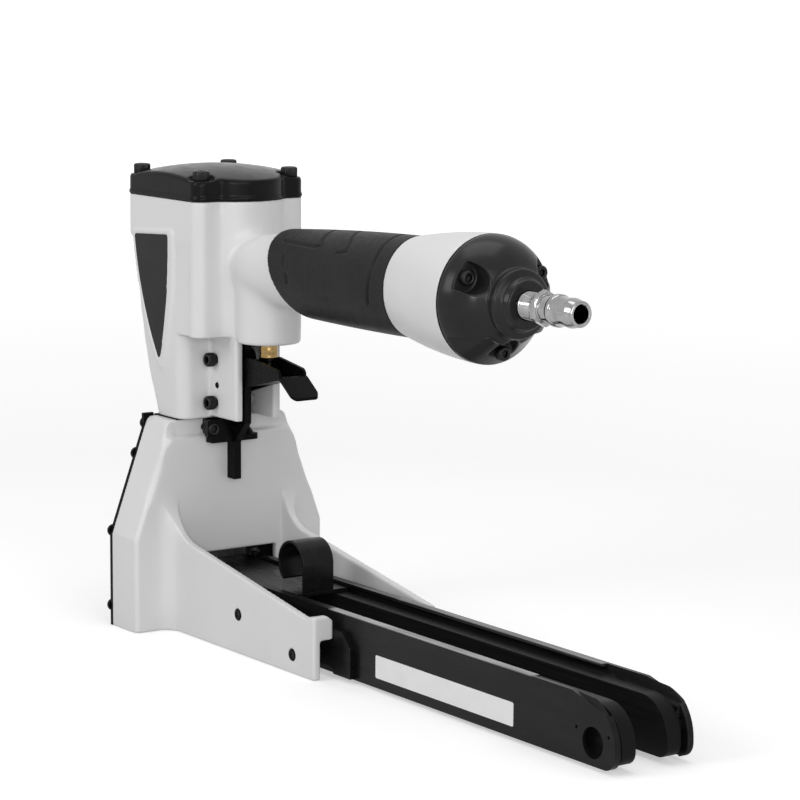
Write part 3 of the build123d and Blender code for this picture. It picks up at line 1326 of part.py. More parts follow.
def trigger_lever():
    """Bent sheet lever: two side cheeks on the pivot, a floor between them and a finger tail."""
    lower = [(PIVOT_X + x, PIVOT_Z + z) for x, z in (LEVER_BELLY, LEVER_KNEE, LEVER_TIP)]
    upper = [(x, z + LEVER_T) for x, z in lower]
    over = FilletPolyline(*upper, radius=LEVER_BEND_R)
    under = FilletPolyline(*lower, radius=LEVER_BEND_R)
    ends = Line(upper[0], lower[0]) + Line(upper[-1], lower[-1])
    sheet = along_y(make_face(over + under + ends), -LEVER_OUT, LEVER_OUT)
    length = LEVER_TIP[0]
    plan = Pos(PIVOT_X + length / 2, 0) * RectangleRounded(length, 2 * LEVER_OUT, LEVER_TAIL_R)
    sheet = sheet & along_z(plan, NECK_BOTTOM, NECK_TOP)
    eye_low = (0, -LEVER_EYE_R)
    corners = (LEVER_NAPE, LEVER_HEEL, LEVER_CREST, LEVER_RUMP, LEVER_KNEE, LEVER_BELLY, eye_low)
    cheek = polygon(*[(PIVOT_X + x, PIVOT_Z + z) for x, z in corners])
    cheek = rounded(cheek, (PIVOT_X + LEVER_RUMP[0], PIVOT_Z + LEVER_RUMP[1]), LEVER_RUMP_R)
    eye = Pos(PIVOT_X, PIVOT_Z) * Circle(LEVER_EYE_R)
    cheek = along_y(cheek + eye, LEVER_OUT - LEVER_T, LEVER_OUT)
    cheek -= rod_y(PIVOT_R + RUN_GAP, 0, LEVER_OUT, PIVOT_X, PIVOT_Z)
    return sheet + cheek + other_side(cheek)


def valve_sleeve():
    sleeve = rod_z(VALVE_SLEEVE_R - SEAT_GAP, BOSS_BOTTOM, VALVE_SLEEVE_TOP, VALVE_X)
    return sleeve - rod_z(STEM_R + RUN_GAP, BOSS_BOTTOM, VALVE_SLEEVE_TOP, VALVE_X)


def valve_stem():
    stem = rod_z(STEM_R, STEM_LOW, STEM_TOP, VALVE_X)
    stem = chamfer(stem.edges().sort_by(Axis.Z)[0], STEM_CHAMFER)
    tip = rod_z(STEM_TIP_R, STEM_TIP_LOW, STEM_LOW, VALVE_X)
    stem += fillet(tip.edges().sort_by(Axis.Z)[0], STEM_TIP_ROUND)
    groove = rod_z(STEM_R, STEM_SEAL_Z, STEM_SEAL_Z + STEM_SEAL_H, VALVE_X)
    return stem - (groove - rod_z(STEM_SEAL_R, STEM_SEAL_Z, STEM_SEAL_Z + STEM_SEAL_H, VALVE_X))


def valve_seal():
    seal = rod_z(STEM_R + RUN_GAP / 2, STEM_SEAL_Z, STEM_SEAL_Z + STEM_SEAL_H, VALVE_X)
    return seal - rod_z(STEM_SEAL_R + SEAT_GAP, STEM_SEAL_Z, STEM_SEAL_Z + STEM_SEAL_H, VALVE_X)


def valve_spring():
    outer = SPRING_R + SPRING_WIRE_R
    inner = SPRING_R - SPRING_WIRE_R
    return rod_z(outer, STEM_TOP, VALVE_WELL_TOP, VALVE_X) - rod_z(inner, STEM_TOP, VALVE_WELL_TOP, VALVE_X)


# Magazine and pusher


def magazine_side():
    """Outer plate of one beam, with an inward lip over the staple track and a round rear end."""
    outline = polygon((MAG_FRONT, MAG_LOW), (MAG_END, MAG_LOW), (MAG_END, MAG_TOP), (MAG_FRONT, MAG_TOP))
    outline = rounded(outline, (MAG_END, MAG_TOP), MAG_END_TOP_R)
    outline = rounded(outline, (MAG_END, MAG_LOW), MAG_END_LOW_R)
    side = along_y(outline, MAG_IN, MAG_OUT)
    side += block(NOSE_REAR_X, MAG_LIP_END, MAG_LIP_IN, MAG_OUT, MAG_TOP - MAG_LIP_T, MAG_TOP)
    return side - rod_y(HOLE_R, MAG_IN, MAG_OUT, HOLE_X, HOLE_Z)


def inner_rail():
    """Rail that the staple crowns ride on."""
    outline = polygon(
        (MAG_FRONT, RAIL_LOW),
        (RAIL_END, RAIL_LOW),
        (RAIL_END, RAIL_TOP),
        (MAG_FRONT, RAIL_TOP),
    )
    outline = rounded(outline, (RAIL_END, RAIL_TOP), RAIL_END_TOP_R)
    outline = rounded(outline, (RAIL_END, RAIL_LOW), MAG_END_LOW_R - RAIL_LIFT)
    return along_y(outline, RAIL_IN, RAIL_OUT)


def magazine_spacers():
    """Spacers that hold the outer plates on the rails, with the last pair closing the rear end."""
    pieces = []
    for back, lift in zip(SPACER_SETBACKS, SPACER_LIFTS):
        x = MAG_END - back
        low = RAIL_LOW + lift
        spacer = block(x, x + SPACER_L, RAIL_OUT, MAG_IN, low, low + SPACER_H)
        pieces += [spacer, other_side(spacer)]
    return pieces


def mount_plate():
    """Plate between magazine and wing, with a chamfered rear corner."""
    outline = polygon(
        (MOUNT_PLATE_FRONT, MOUNT_PLATE_LOW),
        (MOUNT_PLATE_END, MOUNT_PLATE_LOW),
        (MOUNT_PLATE_END, MOUNT_PLATE_TOP - MOUNT_PLATE_CHAMFER),
        (MOUNT_PLATE_END - MOUNT_PLATE_CHAMFER, MOUNT_PLATE_TOP),
        (MOUNT_PLATE_FRONT, MOUNT_PLATE_TOP),
    )
    plate = along_y(outline, MAG_OUT, MOUNT_PLATE_OUT)
    for x, z in WING_PIN_PLACES:
        plate -= rod_y(WING_PIN_R + SEAT_GAP, MAG_OUT, MOUNT_PLATE_OUT, x, z)
    return plate


def wing_pins():
    pins = [rod_y(WING_PIN_R, MAG_OUT, WING_OUT, x, z) for x, z in WING_PIN_PLACES]
    return pins + [other_side(pin) for pin in pins]


def pusher():
    """Saddle over the rails with two staple-shaped feet and a guide tongue in the slot."""
    saddle = block(PUSHER_FRONT, PUSHER_END, -PUSHER_HALF_W, PUSHER_HALF_W, PUSHER_LOW, PUSHER_TOP)
    foot_end = PUSHER_FRONT + PUSHER_FOOT_L
    foot_low = PUSHER_LOW - PUSHER_FOOT_H
    foot = block(PUSHER_FRONT, foot_end, RAIL_OUT + FREE_GAP, MAG_IN - FREE_GAP, foot_low, PUSHER_TOP)
    half = RAIL_IN - FREE_GAP
    front = PUSHER_FRONT + PUSHER_TONGUE_LEAD
    guide = block(front, front + PUSHER_TONGUE_L, -half, half, PUSHER_LOW - PUSHER_TONGUE_H, PUSHER_LOW)
    return saddle + foot + other_side(foot) + guide


def finger_loop():
    """Sheet strip curled into a ring for a finger."""
    rear = (LOOP_X + LOOP_R, LOOP_Z)
    end = math.radians(LOOP_END_ANGLE)
    middle = math.radians(LOOP_END_ANGLE / 2)
    over = (LOOP_X + LOOP_R * math.cos(middle), LOOP_Z + LOOP_R * math.sin(middle))
    last = (LOOP_X + LOOP_R * math.cos(end), LOOP_Z + LOOP_R * math.sin(end))
    strip = Line((rear[0], PUSHER_TOP), rear) + ThreePointArc(rear, over, last)
    return along_y(trace(strip, LOOP_T), -LOOP_HALF_W, LOOP_HALF_W)


PIECES = {
    "upper_body": upper_body,
    "top_cap": top_cap,
    "cap_gasket": cap_gasket,
    "cap_screws": cap_screws,
    "side_plate": side_plate,
    "grip_sleeve": grip_sleeve,
    "end_cap": end_cap,
    "end_cap_gasket": end_cap_gasket,
    "end_cap_screws": end_cap_screws,
    "air_plug": air_plug,
    "cylinder_sleeve": cylinder_sleeve,
    "bumper": bumper,
    "rod_bush": rod_bush,
    "piston": piston,
    "piston_ring": piston_ring,
    "piston_rod": piston_rod,
    "rod_nut": rod_nut,
    "nose_housing": nose_housing,
    "front_plate": front_plate,
    "front_plate_screws": front_plate_screws,
    "body_gasket": body_gasket,
    "front_guide": front_guide,
    "guide_screws": guide_screws,
    "blade_guide": blade_guide,
    "clincher_pins": clincher_pins,
    "clincher_right": clincher,
    "clincher_left": lambda: other_side(clincher()),
    "cam_pin_right": cam_pin,
    "cam_pin_left": lambda: other_side(cam_pin()),
    "yoke_plate": yoke_plate,
    "yoke_screws": yoke_screws,
    "crosshead": crosshead,
    "driver_blade": driver_blade,
    "blade_pin": blade_pin,
    "guide_web": guide_web,
    "side_screws": side_screws,
    "clamp_block": clamp_block,
    "clamp_screw": clamp_screw,
    "locating_stud": locating_stud,
    "trigger_pin": trigger_pin,
    "trigger_lever": trigger_lever,
    "valve_sleeve": valve_sleeve,
    "valve_stem": valve_stem,
    "valve_seal": valve_seal,
    "valve_spring": valve_spring,
    "magazine_side_right": magazine_side,
    "magazine_side_left": lambda: other_side(magazine_side()),
    "inner_rail_right": inner_rail,
    "inner_rail_left": lambda: other_side(inner_rail()),
    "magazine_spacers": magazine_spacers,
    "mount_plate_right": mount_plate,
    "mount_plate_left": lambda: other_side(mount_plate()),
    "wing_pins": wing_pins,
    "pusher": pusher,
    "finger_loop": finger_loop,
}

os.makedirs("parts", exist_ok=True)
for name, make in PIECES.items():
    piece = make()
    if isinstance(piece, list):
        piece = Compound(children=piece)
    export_step(piece, f"parts/{name}.step")
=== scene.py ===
"""Looks of the carton stapler: cast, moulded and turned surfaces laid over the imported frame.

Lengths of the pieces are in millimetres, and those of the stage in metres.
"""

import json
import math

import bmesh
import bpy
import numpy as np
from mathutils import Matrix, Vector

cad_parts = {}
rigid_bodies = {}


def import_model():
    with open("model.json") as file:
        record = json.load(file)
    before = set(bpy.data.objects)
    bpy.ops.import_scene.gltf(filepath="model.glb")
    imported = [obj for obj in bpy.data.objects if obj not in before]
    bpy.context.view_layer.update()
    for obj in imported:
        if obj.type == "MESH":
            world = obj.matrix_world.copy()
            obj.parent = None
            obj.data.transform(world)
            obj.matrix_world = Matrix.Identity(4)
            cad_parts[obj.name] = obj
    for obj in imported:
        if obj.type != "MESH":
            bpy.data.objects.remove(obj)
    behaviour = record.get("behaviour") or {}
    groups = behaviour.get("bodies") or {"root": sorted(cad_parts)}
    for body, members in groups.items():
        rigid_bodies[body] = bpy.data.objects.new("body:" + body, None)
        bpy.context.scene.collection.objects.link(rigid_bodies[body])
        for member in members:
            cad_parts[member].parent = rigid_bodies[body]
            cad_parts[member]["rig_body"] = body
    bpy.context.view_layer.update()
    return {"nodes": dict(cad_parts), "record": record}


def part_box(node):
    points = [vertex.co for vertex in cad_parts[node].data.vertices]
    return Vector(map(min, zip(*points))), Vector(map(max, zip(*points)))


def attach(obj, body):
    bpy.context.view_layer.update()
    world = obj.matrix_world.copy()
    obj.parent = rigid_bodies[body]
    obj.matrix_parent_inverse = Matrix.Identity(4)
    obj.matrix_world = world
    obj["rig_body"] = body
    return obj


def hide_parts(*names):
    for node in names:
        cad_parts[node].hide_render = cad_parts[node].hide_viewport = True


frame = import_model()
NODES = frame["nodes"]
SLOT_OF = {row["node"]: row["material_slot"] for row in frame["record"]["subparts"]}
MM = 0.001


def box_mm(node):
    """The lower and the upper corner of the box round a node."""
    return [Vector(corner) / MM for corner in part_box(node)]


MAG_LOW, MAG_HIGH = box_mm("magazine_side_left")
WING_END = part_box("nose_housing")[1][0] / MM
STEM_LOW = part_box("valve_stem")[0][2] / MM


# Materials

def ranged(tree, value, low, high, from_low=0.0, from_high=1.0):
    """Values stretched from one pair of limits to another."""
    node = tree.nodes.new("ShaderNodeMapRange")
    limits = {"From Min": from_low, "From Max": from_high, "To Min": low, "To Max": high}
    for key, limit in limits.items():
        node.inputs[key].default_value = limit
    tree.links.new(value, node.inputs["Value"])
    return node.outputs["Result"]


def combined(tree, operation, a, b):
    """Two values put together by an arithmetic operation."""
    node = tree.nodes.new("ShaderNodeMath")
    node.operation = operation
    tree.links.new(a, node.inputs[0])
    tree.links.new(b, node.inputs[1])
    return node.outputs[0]


NOISE_LOW, NOISE_HIGH = 0.3, 0.7


def grey(level, warm=0.0):
    """A grey colour, tinted a little."""
    return (level * (1 + warm), level, level * (1 - warm))


class Paint:
    """A surface with its own shader and the few texture nodes that vary it."""

    def __init__(self, name, metallic=0.0, specular=0.5):
        self.mat = bpy.data.materials.new(name)
        self.mat.use_nodes = True
        self.tree = self.mat.node_tree
        self.shader = self.tree.nodes["Principled BSDF"]
        self.shader.inputs["Metallic"].default_value = metallic
        self.shader.inputs["Specular IOR Level"].default_value = specular
        self.coords = self.add("ShaderNodeTexCoord")

    def add(self, kind, **values):
        """A new node with some of its inputs set."""
        node = self.tree.nodes.new(kind)
        for key, value in values.items():
            node.inputs[key].default_value = value
        return node

    def link(self, a, b):
        self.tree.links.new(a, b)

    def noise(self, size, detail=3.0, stretch=(1, 1, 1)):
        """Cloudy values from 0 to 1 with lumps of about this size, drawn out along some axes."""
        mapping = self.add("ShaderNodeMapping", Scale=stretch)
        self.link(self.coords.outputs["Object"], mapping.inputs["Vector"])
        node = self.add("ShaderNodeTexNoise", Scale=1 / (size * MM), Detail=detail)
        self.link(mapping.outputs["Vector"], node.inputs["Vector"])
        return node.outputs["Fac"]

    def cells(self, size):
        """Distance to the middle of the nearest grain of about this size."""
        node = self.add("ShaderNodeTexVoronoi", Scale=1 / (size * MM))
        self.link(self.coords.outputs["Object"], node.inputs["Vector"])
        return node.outputs["Distance"]

    def spread(self, value, low, high):
        """The middle range of a noise, stretched between two limits."""
        return ranged(self.tree, value, low, high, NOISE_LOW, NOISE_HIGH)

    def past(self, axis, low, high, before=0.0, after=1.0):
        """A mask that changes from one value to another between two places along an axis."""
        node = self.add("ShaderNodeSeparateXYZ")
        self.link(self.coords.outputs["Object"], node.inputs[0])
        return ranged(self.tree, node.outputs[axis], before, after, low * MM, high * MM)

    def both(self, a, b):
        """The product of two masks."""
        return combined(self.tree, "MULTIPLY", a, b)

    def shades(self, value, deep, light, low=NOISE_LOW, high=NOISE_HIGH):
        """A colour that runs from one to another between two limits of a value."""
        node = self.add("ShaderNodeValToRGB")
        stops = ((low, deep), (high, light))
        for element, (place, colour) in zip(node.color_ramp.elements, stops):
            element.position = place
            element.color = (*colour, 1)
        self.link(value, node.inputs["Fac"])
        return node.outputs["Color"]

    def greys(self, value, deep, light, **limits):
        """A grey that runs between two levels."""
        return self.shades(value, grey(deep), grey(light), **limits)

    def over(self, factor, under, above):
        """One colour laid over another by a factor."""
        node = self.add("ShaderNodeMix")
        node.data_type = "RGBA"
        for socket, output in ((0, factor), (6, under), (7, above)):
            self.link(output, node.inputs[socket])
        return node.outputs[2]

    def colour(self, output):
        self.link(output, self.shader.inputs["Base Color"])

    def roughness(self, output):
        self.link(output, self.shader.inputs["Roughness"])

    def bump(self, height, depth, strength):
        """Press the surface in and out."""
        node = self.add("ShaderNodeBump", Distance=depth * MM, Strength=strength)
        self.link(height, node.inputs["Height"])
        self.link(node.outputs["Normal"], self.shader.inputs["Normal"])


# Stretches of the noise that draw rings round a turned piece or lines along a bar
RINGS_X = (1, 0.03, 0.03)
RINGS_Z = (0.03, 0.03, 1)
GRINDING_Z = (1, 1, 0.03)
DRAWN_X = (0.02, 1, 1)

# The magazine's lips are rubbed bare and carry a painted highlight from behind the wings to where
# they run out; the far side's is painted dimmer
LIP_RUB_AND_HIGHLIGHT_Z = (MAG_HIGH.z - 0.5, MAG_HIGH.z - 0.2)
LIP_RUB_AND_HIGHLIGHT_START = (WING_END - 9, WING_END - 6)
LIP_RUB_AND_HIGHLIGHT_END = (WING_END + 149, WING_END + 152)
FAR_SIDE_HIGHLIGHT_SHARE = 0.35

# The slim end of the valve stem is dark up to its shoulder
STEM_TIP_Z = (STEM_LOW + 10.6, STEM_LOW + 10.8)

DEEP_BRASS = (0.24, 0.155, 0.06)
LIGHT_BRASS = (0.32, 0.22, 0.095)


def cast_paint():
    """Satin light grey paint over a cast skin."""
    paint = Paint("satin_grey_paint")
    cloud = paint.noise(46, detail=2)
    paint.colour(paint.shades(cloud, grey(0.595, warm=0.002), grey(0.625, warm=0.001)))
    paint.roughness(paint.spread(paint.noise(7, detail=1), 0.36, 0.42))
    return paint.mat


def black_paint(name, tone, specular):
    """Black paint on the cast caps."""
    paint = Paint(name, specular=specular)
    paint.colour(paint.greys(paint.noise(20), 0.8 * tone, 1.2 * tone))
    paint.roughness(paint.spread(paint.noise(6, detail=1), 0.20, 0.28))
    return paint.mat


def rubber():
    """Moulded charcoal rubber with a fine matt grain."""
    paint = Paint("moulded_rubber", specular=0.1)
    paint.colour(paint.greys(paint.noise(26), 0.009, 0.013))
    paint.roughness(paint.spread(paint.noise(3), 0.40, 0.52))
    paint.bump(paint.cells(0.7), depth=0.02, strength=0.4)
    return paint.mat


def gasket_sheet():
    """Pressed fibre sheet."""
    paint = Paint("gasket_sheet", specular=0.08)
    paint.colour(paint.greys(paint.noise(2, detail=4), 0.008, 0.016))
    paint.roughness(paint.spread(paint.noise(1), 0.6, 0.8))
    paint.bump(paint.noise(0.6), depth=0.03, strength=0.6)
    return paint.mat


def magazine_black():
    """Semi-gloss black coat on sheet steel, with its lips rubbed bare and given a painted
    highlight, dimmer on the far side.
    """
    paint = Paint("semi_gloss_black", specular=0.12)
    streaks = paint.noise(5, detail=4, stretch=(0.12, 1, 1))
    coat = paint.greys(streaks, 0.004, 0.008, low=0.35, high=0.72)
    # Light grey on the lips: bare rub together with a painted highlight
    bare = paint.greys(streaks, 0.14, 0.34, low=0.35, high=0.6)
    lip = paint.past("Z", *LIP_RUB_AND_HIGHLIGHT_Z)
    length = paint.both(paint.past("X", *LIP_RUB_AND_HIGHLIGHT_START), paint.past("X", *LIP_RUB_AND_HIGHLIGHT_END, 1, 0))
    # The far side's lips get less of the grey: painted shade
    sides = paint.past("Y", -1, 1, 1, FAR_SIDE_HIGHLIGHT_SHARE)
    paint.colour(paint.over(paint.both(paint.both(lip, length), sides), coat, bare))
    paint.roughness(paint.spread(paint.noise(8, detail=4, stretch=(0.2, 1, 1)), 0.22, 0.34))
    paint.bump(paint.noise(6, detail=2, stretch=(0.3, 1, 1)), depth=0.03, strength=0.3)
    return paint.mat


def rail_black():
    """Black drawn rail with lines along its length."""
    paint = Paint("drawn_rail_black", specular=0.06)
    lines = paint.noise(0.7, stretch=DRAWN_X)
    paint.colour(paint.greys(lines, 0.004, 0.009, high=0.75))
    paint.roughness(paint.spread(lines, 0.34, 0.46))
    paint.bump(lines, depth=0.02, strength=0.4)
    return paint.mat


def blackened_steel(name, tone, specular):
    """Blackened steel with a faint oily mottle."""
    paint = Paint(name, specular=specular)
    paint.colour(paint.greys(paint.noise(3, detail=4), 0.7 * tone, 1.3 * tone, high=0.75))
    paint.roughness(paint.spread(paint.noise(2), 0.24, 0.36))
    paint.bump(paint.noise(8, detail=1), depth=0.05, strength=0.2)
    return paint.mat


def ground_steel():
    """Bare steel with fine grinding lines."""
    paint = Paint("ground_steel", metallic=1.0)
    lines = paint.noise(0.5, stretch=GRINDING_Z)
    paint.colour(paint.greys(lines, 0.12, 0.18))
    paint.roughness(paint.spread(lines, 0.24, 0.38))
    paint.bump(lines, depth=0.01, strength=0.4)
    return paint.mat


def zinc_plate():
    """Bright plating over turned steel."""
    paint = Paint("bright_zinc_plate", metallic=1.0)
    rings = paint.noise(0.5, detail=2, stretch=RINGS_X)
    paint.colour(paint.greys(paint.noise(5), 0.27, 0.36))
    paint.roughness(paint.spread(rings, 0.10, 0.17))
    paint.bump(rings, depth=0.012, strength=0.4)
    return paint.mat


def brass(name, dark_tip=False):
    """Turned brass, with a darker lower end if wanted."""
    paint = Paint(name, metallic=1.0)
    rings = paint.noise(0.4, detail=2, stretch=RINGS_Z)
    shade = paint.shades(paint.noise(3), DEEP_BRASS, LIGHT_BRASS)
    if dark_tip:
        black = paint.greys(rings, 0.008, 0.014)
        shade = paint.over(paint.past("Z", *STEM_TIP_Z, 1, 0), shade, black)
    paint.colour(shade)
    paint.roughness(paint.spread(rings, 0.2, 0.3))
    paint.bump(paint.noise(1.8, detail=0, stretch=(0.02, 0.02, 1)), depth=0.4, strength=0.7)
    return paint.mat


def turned_alloy():
    """Turned aluminium."""
    paint = Paint("turned_alloy", metallic=1.0)
    rings = paint.noise(0.4, detail=2, stretch=RINGS_Z)
    paint.colour(paint.greys(paint.noise(4), 0.5, 0.6))
    paint.roughness(paint.spread(rings, 0.26, 0.4))
    paint.bump(rings, depth=0.012, strength=0.4)
    return paint.mat


def gloss_plate():
    """Bare gloss black plate."""
    paint = Paint("gloss_black_plate", specular=0.12)
    paint.colour(paint.greys(paint.noise(12), 0.005, 0.008))
    paint.roughness(paint.spread(paint.noise(6), 0.18, 0.26))
    paint.bump(paint.noise(1.5, detail=2), depth=0.008, strength=0.4)
    return paint.mat


def blank_film():
    """Blank white film."""
    paint = Paint("blank_white_film", specular=0.4)
    paint.colour(paint.greys(paint.noise(9), 0.72, 0.77))
    paint.roughness(paint.spread(paint.noise(3), 0.34, 0.46))
    paint.bump(paint.noise(4, detail=2), depth=0.02, strength=0.4)
    return paint.mat


FINISHES = {
    "casting_paint": cast_paint(),
    "cap_black": black_paint("gloss_black_paint", tone=0.006, specular=0.08),
    "grip_rubber": rubber(),
    "gasket": gasket_sheet(),
    "magazine_black": magazine_black(),
    "rail_black": rail_black(),
    "black_steel": blackened_steel("black_oxide_steel", tone=0.003, specular=0.05),
    "tool_steel": ground_steel(),
    "zinc": zinc_plate(),
    "brass": brass("turned_brass"),
    "piston_alloy": turned_alloy(),
    "plate_black": gloss_plate(),
}
# The end cap has the caps' black paint, painted lighter as a painted sheen, and reflecting a
# little more
END_CAP_SHEEN_BLACK = black_paint("black_paint_with_painted_sheen", tone=0.014, specular=0.16)
SCREW_BLACK = blackened_steel("oiled_black_screw", tone=0.004, specular=0.24)
STEM_BRASS = brass("dark_tipped_brass", dark_tip=True)

for name, node in NODES.items():
    node.data.materials.clear()
    node.data.materials.append(FINISHES[SLOT_OF[name]])


# Pieces and their meshes

def placed(name, data):
    """A new object in the scene."""
    thing = bpy.data.objects.new(name, data)
    bpy.context.scene.collection.objects.link(thing)
    return thing


def add_piece(name, mesh, slot, body, material=None, replaced=()):
    """Put a mesh in the scene as a piece of the object."""
    piece = placed(name, mesh)
    mesh.materials.clear()
    mesh.materials.append(material or FINISHES[slot])
    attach(piece, body)
    if replaced:
        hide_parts(*replaced)


def over_node(node, mesh, material=None):
    """Put a mesh in the place of a node, with the node's finish and motion."""
    body = NODES[node]["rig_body"]
    add_piece(node + "_form", mesh, SLOT_OF[node], body, material, (node,))


def shaded(mesh, angle=180):
    """Shade a mesh smooth, apart from edges sharper than an angle."""
    mesh.polygons.foreach_set("use_smooth", [True] * len(mesh.polygons))
    if angle < 180:
        mesh.set_sharp_from_angle(angle=math.radians(angle))
    return mesh


def built(form, name, angle=35):
    """The finished mesh of a form."""
    bmesh.ops.recalc_face_normals(form, faces=form.faces)
    mesh = bpy.data.meshes.new(name)
    form.to_mesh(mesh)
    form.free()
    return shaded(mesh, angle)


def settled(source, *modifiers):
    """A new mesh: a copy of a mesh with modifiers worked into it."""
    temp = placed("temp", shaded(source.copy()))
    for kind, values in modifiers:
        modifier = temp.modifiers.new(kind.lower(), kind)
        for key, value in values.items():
            setattr(modifier, key, value)
    graph = bpy.context.evaluated_depsgraph_get()
    graph.update()
    mesh = bpy.data.meshes.new_from_object(temp.evaluated_get(graph))
    bpy.data.objects.remove(temp)
    return mesh


SAME_SPOT = 0.001
SEAM_GAP = 0.002
EASED_GAP = 0.02
BAR_SHARP = 40
EASED_FLAT = 0.5
EASED_EDGE = 30
EASED_SHARP = 50


def solid(node):
    """The closed mesh of a node."""
    return settled(NODES[node].data, ("WELD", {"merge_threshold": SEAM_GAP * MM}))


def rectangle(x0, z0, x1, z1):
    """Corners of a rectangle."""
    return [(x0, z0), (x1, z0), (x1, z1), (x0, z1)]


def circle(x, z, radius, points):
    """Points on a circle."""
    turns = [math.tau * i / points for i in range(points)]
    return [(x + radius * math.cos(turn), z + radius * math.sin(turn)) for turn in turns]


def prism(outline, axis, low, high):
    """A closed bar: an outline across an axis, drawn out between two places."""
    form = bmesh.new()
    ends = []
    for place in (low, high):
        spots = [list(point) for point in outline]
        for spot in spots:
            spot.insert("XYZ".index(axis), place)
        ends.append([form.verts.new(Vector(spot) * MM) for spot in spots])
    near, far = ends
    form.faces.new(near)
    form.faces.new(far[::-1])
    for i in range(len(near)):
        j = (i + 1) % len(near)
        form.faces.new((near[i], near[j], far[j], far[i]))
    return built(form, "bar", BAR_SHARP)


def hull(points):
    """The closed form that wraps round some points."""
    form = bmesh.new()
    spots = [form.verts.new(Vector(point) * MM) for point in points]
    bmesh.ops.convex_hull(form, input=spots)
    return built(form, "hull", BAR_SHARP)


def worked(mesh, operation, *bars):
    """A mesh with bars cut from it or joined to it."""
    for bar in bars:
        tool = placed("tool", bar)
        values = {"object": tool, "operation": operation, "solver": "EXACT"}
        mesh = settled(mesh, ("BOOLEAN", values))
        bpy.data.objects.remove(tool)
    return mesh


def cut(node, *bars):
    """The closed mesh of a node with bars cut from it."""
    return worked(solid(node), "DIFFERENCE", *bars)


def softened(mesh, voxel, rounds):
    """A mesh with every edge rounded as a casting or moulding has it."""
    steps = [
        ("REMESH", {"mode": "VOXEL", "voxel_size": voxel * MM, "use_smooth_shade": True}),
        ("SMOOTH", {"factor": 0.5, "iterations": rounds}),
    ]
    return shaded(settled(mesh, *steps))


def eased(mesh, width):
    """A mesh with its sharp edges broken by a small round."""
    round_over = {
        "width": width * MM,
        "segments": 2,
        "limit_method": "ANGLE",
        "angle_limit": math.radians(EASED_EDGE),
        "use_clamp_overlap": True,
    }
    flat = {"decimate_type": "DISSOLVE", "angle_limit": math.radians(EASED_FLAT)}
    steps = [
        ("WELD", {"merge_threshold": EASED_GAP * MM}),
        ("DECIMATE", flat),
        ("BEVEL", round_over),
    ]
    rounded = shaded(settled(mesh, *steps), EASED_SHARP)
    return settled(rounded, ("WEIGHTED_NORMAL", {"weight": 100, "keep_sharp": True}))


def vertex_values(mesh, kind):
    """Rows of x, y and z, one for each vertex of a mesh."""
    values = np.empty(3 * len(mesh.vertices))
    mesh.vertices.foreach_get(kind, values)
    return values.reshape(-1, 3)


def vertex_spots(mesh):
    """Places of a mesh's vertices."""
    return vertex_values(mesh, "co") / MM


def put_vertices(mesh, spots):
    """Set the places of a mesh's vertices."""
    mesh.vertices.foreach_set("co", (spots * MM).ravel())
    mesh.update()
    return mesh


def ramp(values, low, high):
    """0 below one limit and 1 above another."""
    return np.clip((values - low) / (high - low), 0, 1)


def band(values, low, full, fade, high):
    """0 outside the outer limits and 1 inside the inner ones."""
    return ramp(values, low, full) * (1 - ramp(values, fade, high))


def relaxed(mesh, weight, rounds, hollows_only=False):
    """Smooth a mesh where a weight is above 0 at a place, or only fill its hollows there."""
    spots, normals = vertex_spots(mesh), vertex_values(mesh, "normal")
    count = len(spots)
    share = 0.5 * weight(*spots.T)[:, None]
    ends = np.empty(2 * len(mesh.edges), dtype=np.int32)
    mesh.edges.foreach_get("vertices", ends)
    a, b = ends.reshape(-1, 2).T
    used = (share[a, 0] > 0) | (share[b, 0] > 0)
    a, b = a[used], b[used]

    def gathered(at_a, at_b):
        return np.bincount(a, at_a, count) + np.bincount(b, at_b, count)

    joined = np.maximum(gathered(None, None), 1)[:, None]
    for _ in range(rounds):
        sums = [gathered(spots[b, k], spots[a, k]) for k in range(3)]
        step = np.stack(sums, 1) / joined - spots
        if hollows_only:
            step = normals * np.maximum((step * normals).sum(1), 0)[:, None]
        spots += share * step
    return put_vertices(mesh, spots)


def islands(node):
    """The box round each separate solid of a node, as two corners."""
    form = bmesh.new()
    form.from_mesh(NODES[node].data)
    bmesh.ops.remove_doubles(form, verts=form.verts, dist=SAME_SPOT * MM)
    left = set(form.verts)
    boxes = []
    while left:
        reached = [left.pop()]
        points = []
        while reached:
            vertex = reached.pop()
            points.append(vertex.co / MM)
            near = {edge.other_vert(vertex) for edge in vertex.link_edges} & left
            left -= near
            reached.extend(near)
        axes = list(zip(*points))
        boxes.append([Vector([limit(values) for values in axes]) for limit in (min, max)])
    form.free()
    return boxes


def turned(form, rows, place, axis, points):
    """Add a turned form: rows of (distance along an axis, radius) from a place."""
    turn = Vector(axis).to_track_quat("Z", "Y")
    rings = []
    for along, radius in rows:
        ring = []
        for i in range(points if radius else 1):
            angle = math.tau * i / points
            r = radius(angle) if callable(radius) else radius
            spot = Vector((r * math.cos(angle), r * math.sin(angle), along))
            ring.append(form.verts.new((Vector(place) + turn @ spot) * MM))
        rings.append(ring)
    for near, far in zip(rings, rings[1:]):
        for i in range(points):
            a, b = near[i % len(near)], near[(i + 1) % len(near)]
            c, d = far[(i + 1) % len(far)], far[i % len(far)]
            form.faces.new(list(dict.fromkeys((a, b, c, d))))


def hexagon(across):
    """Radius of a hexagon this far across its flats, at an angle."""
    sixth = math.tau / 6
    return lambda angle: across / 2 / math.cos((angle + sixth / 2) % sixth - sixth / 2)


def knurl(radius, depth, teeth):
    """Radius of a knurled wall, at an angle."""
    return lambda angle: radius - depth * (0.5 - 0.5 * math.cos(teeth * angle))


# Screws and pins

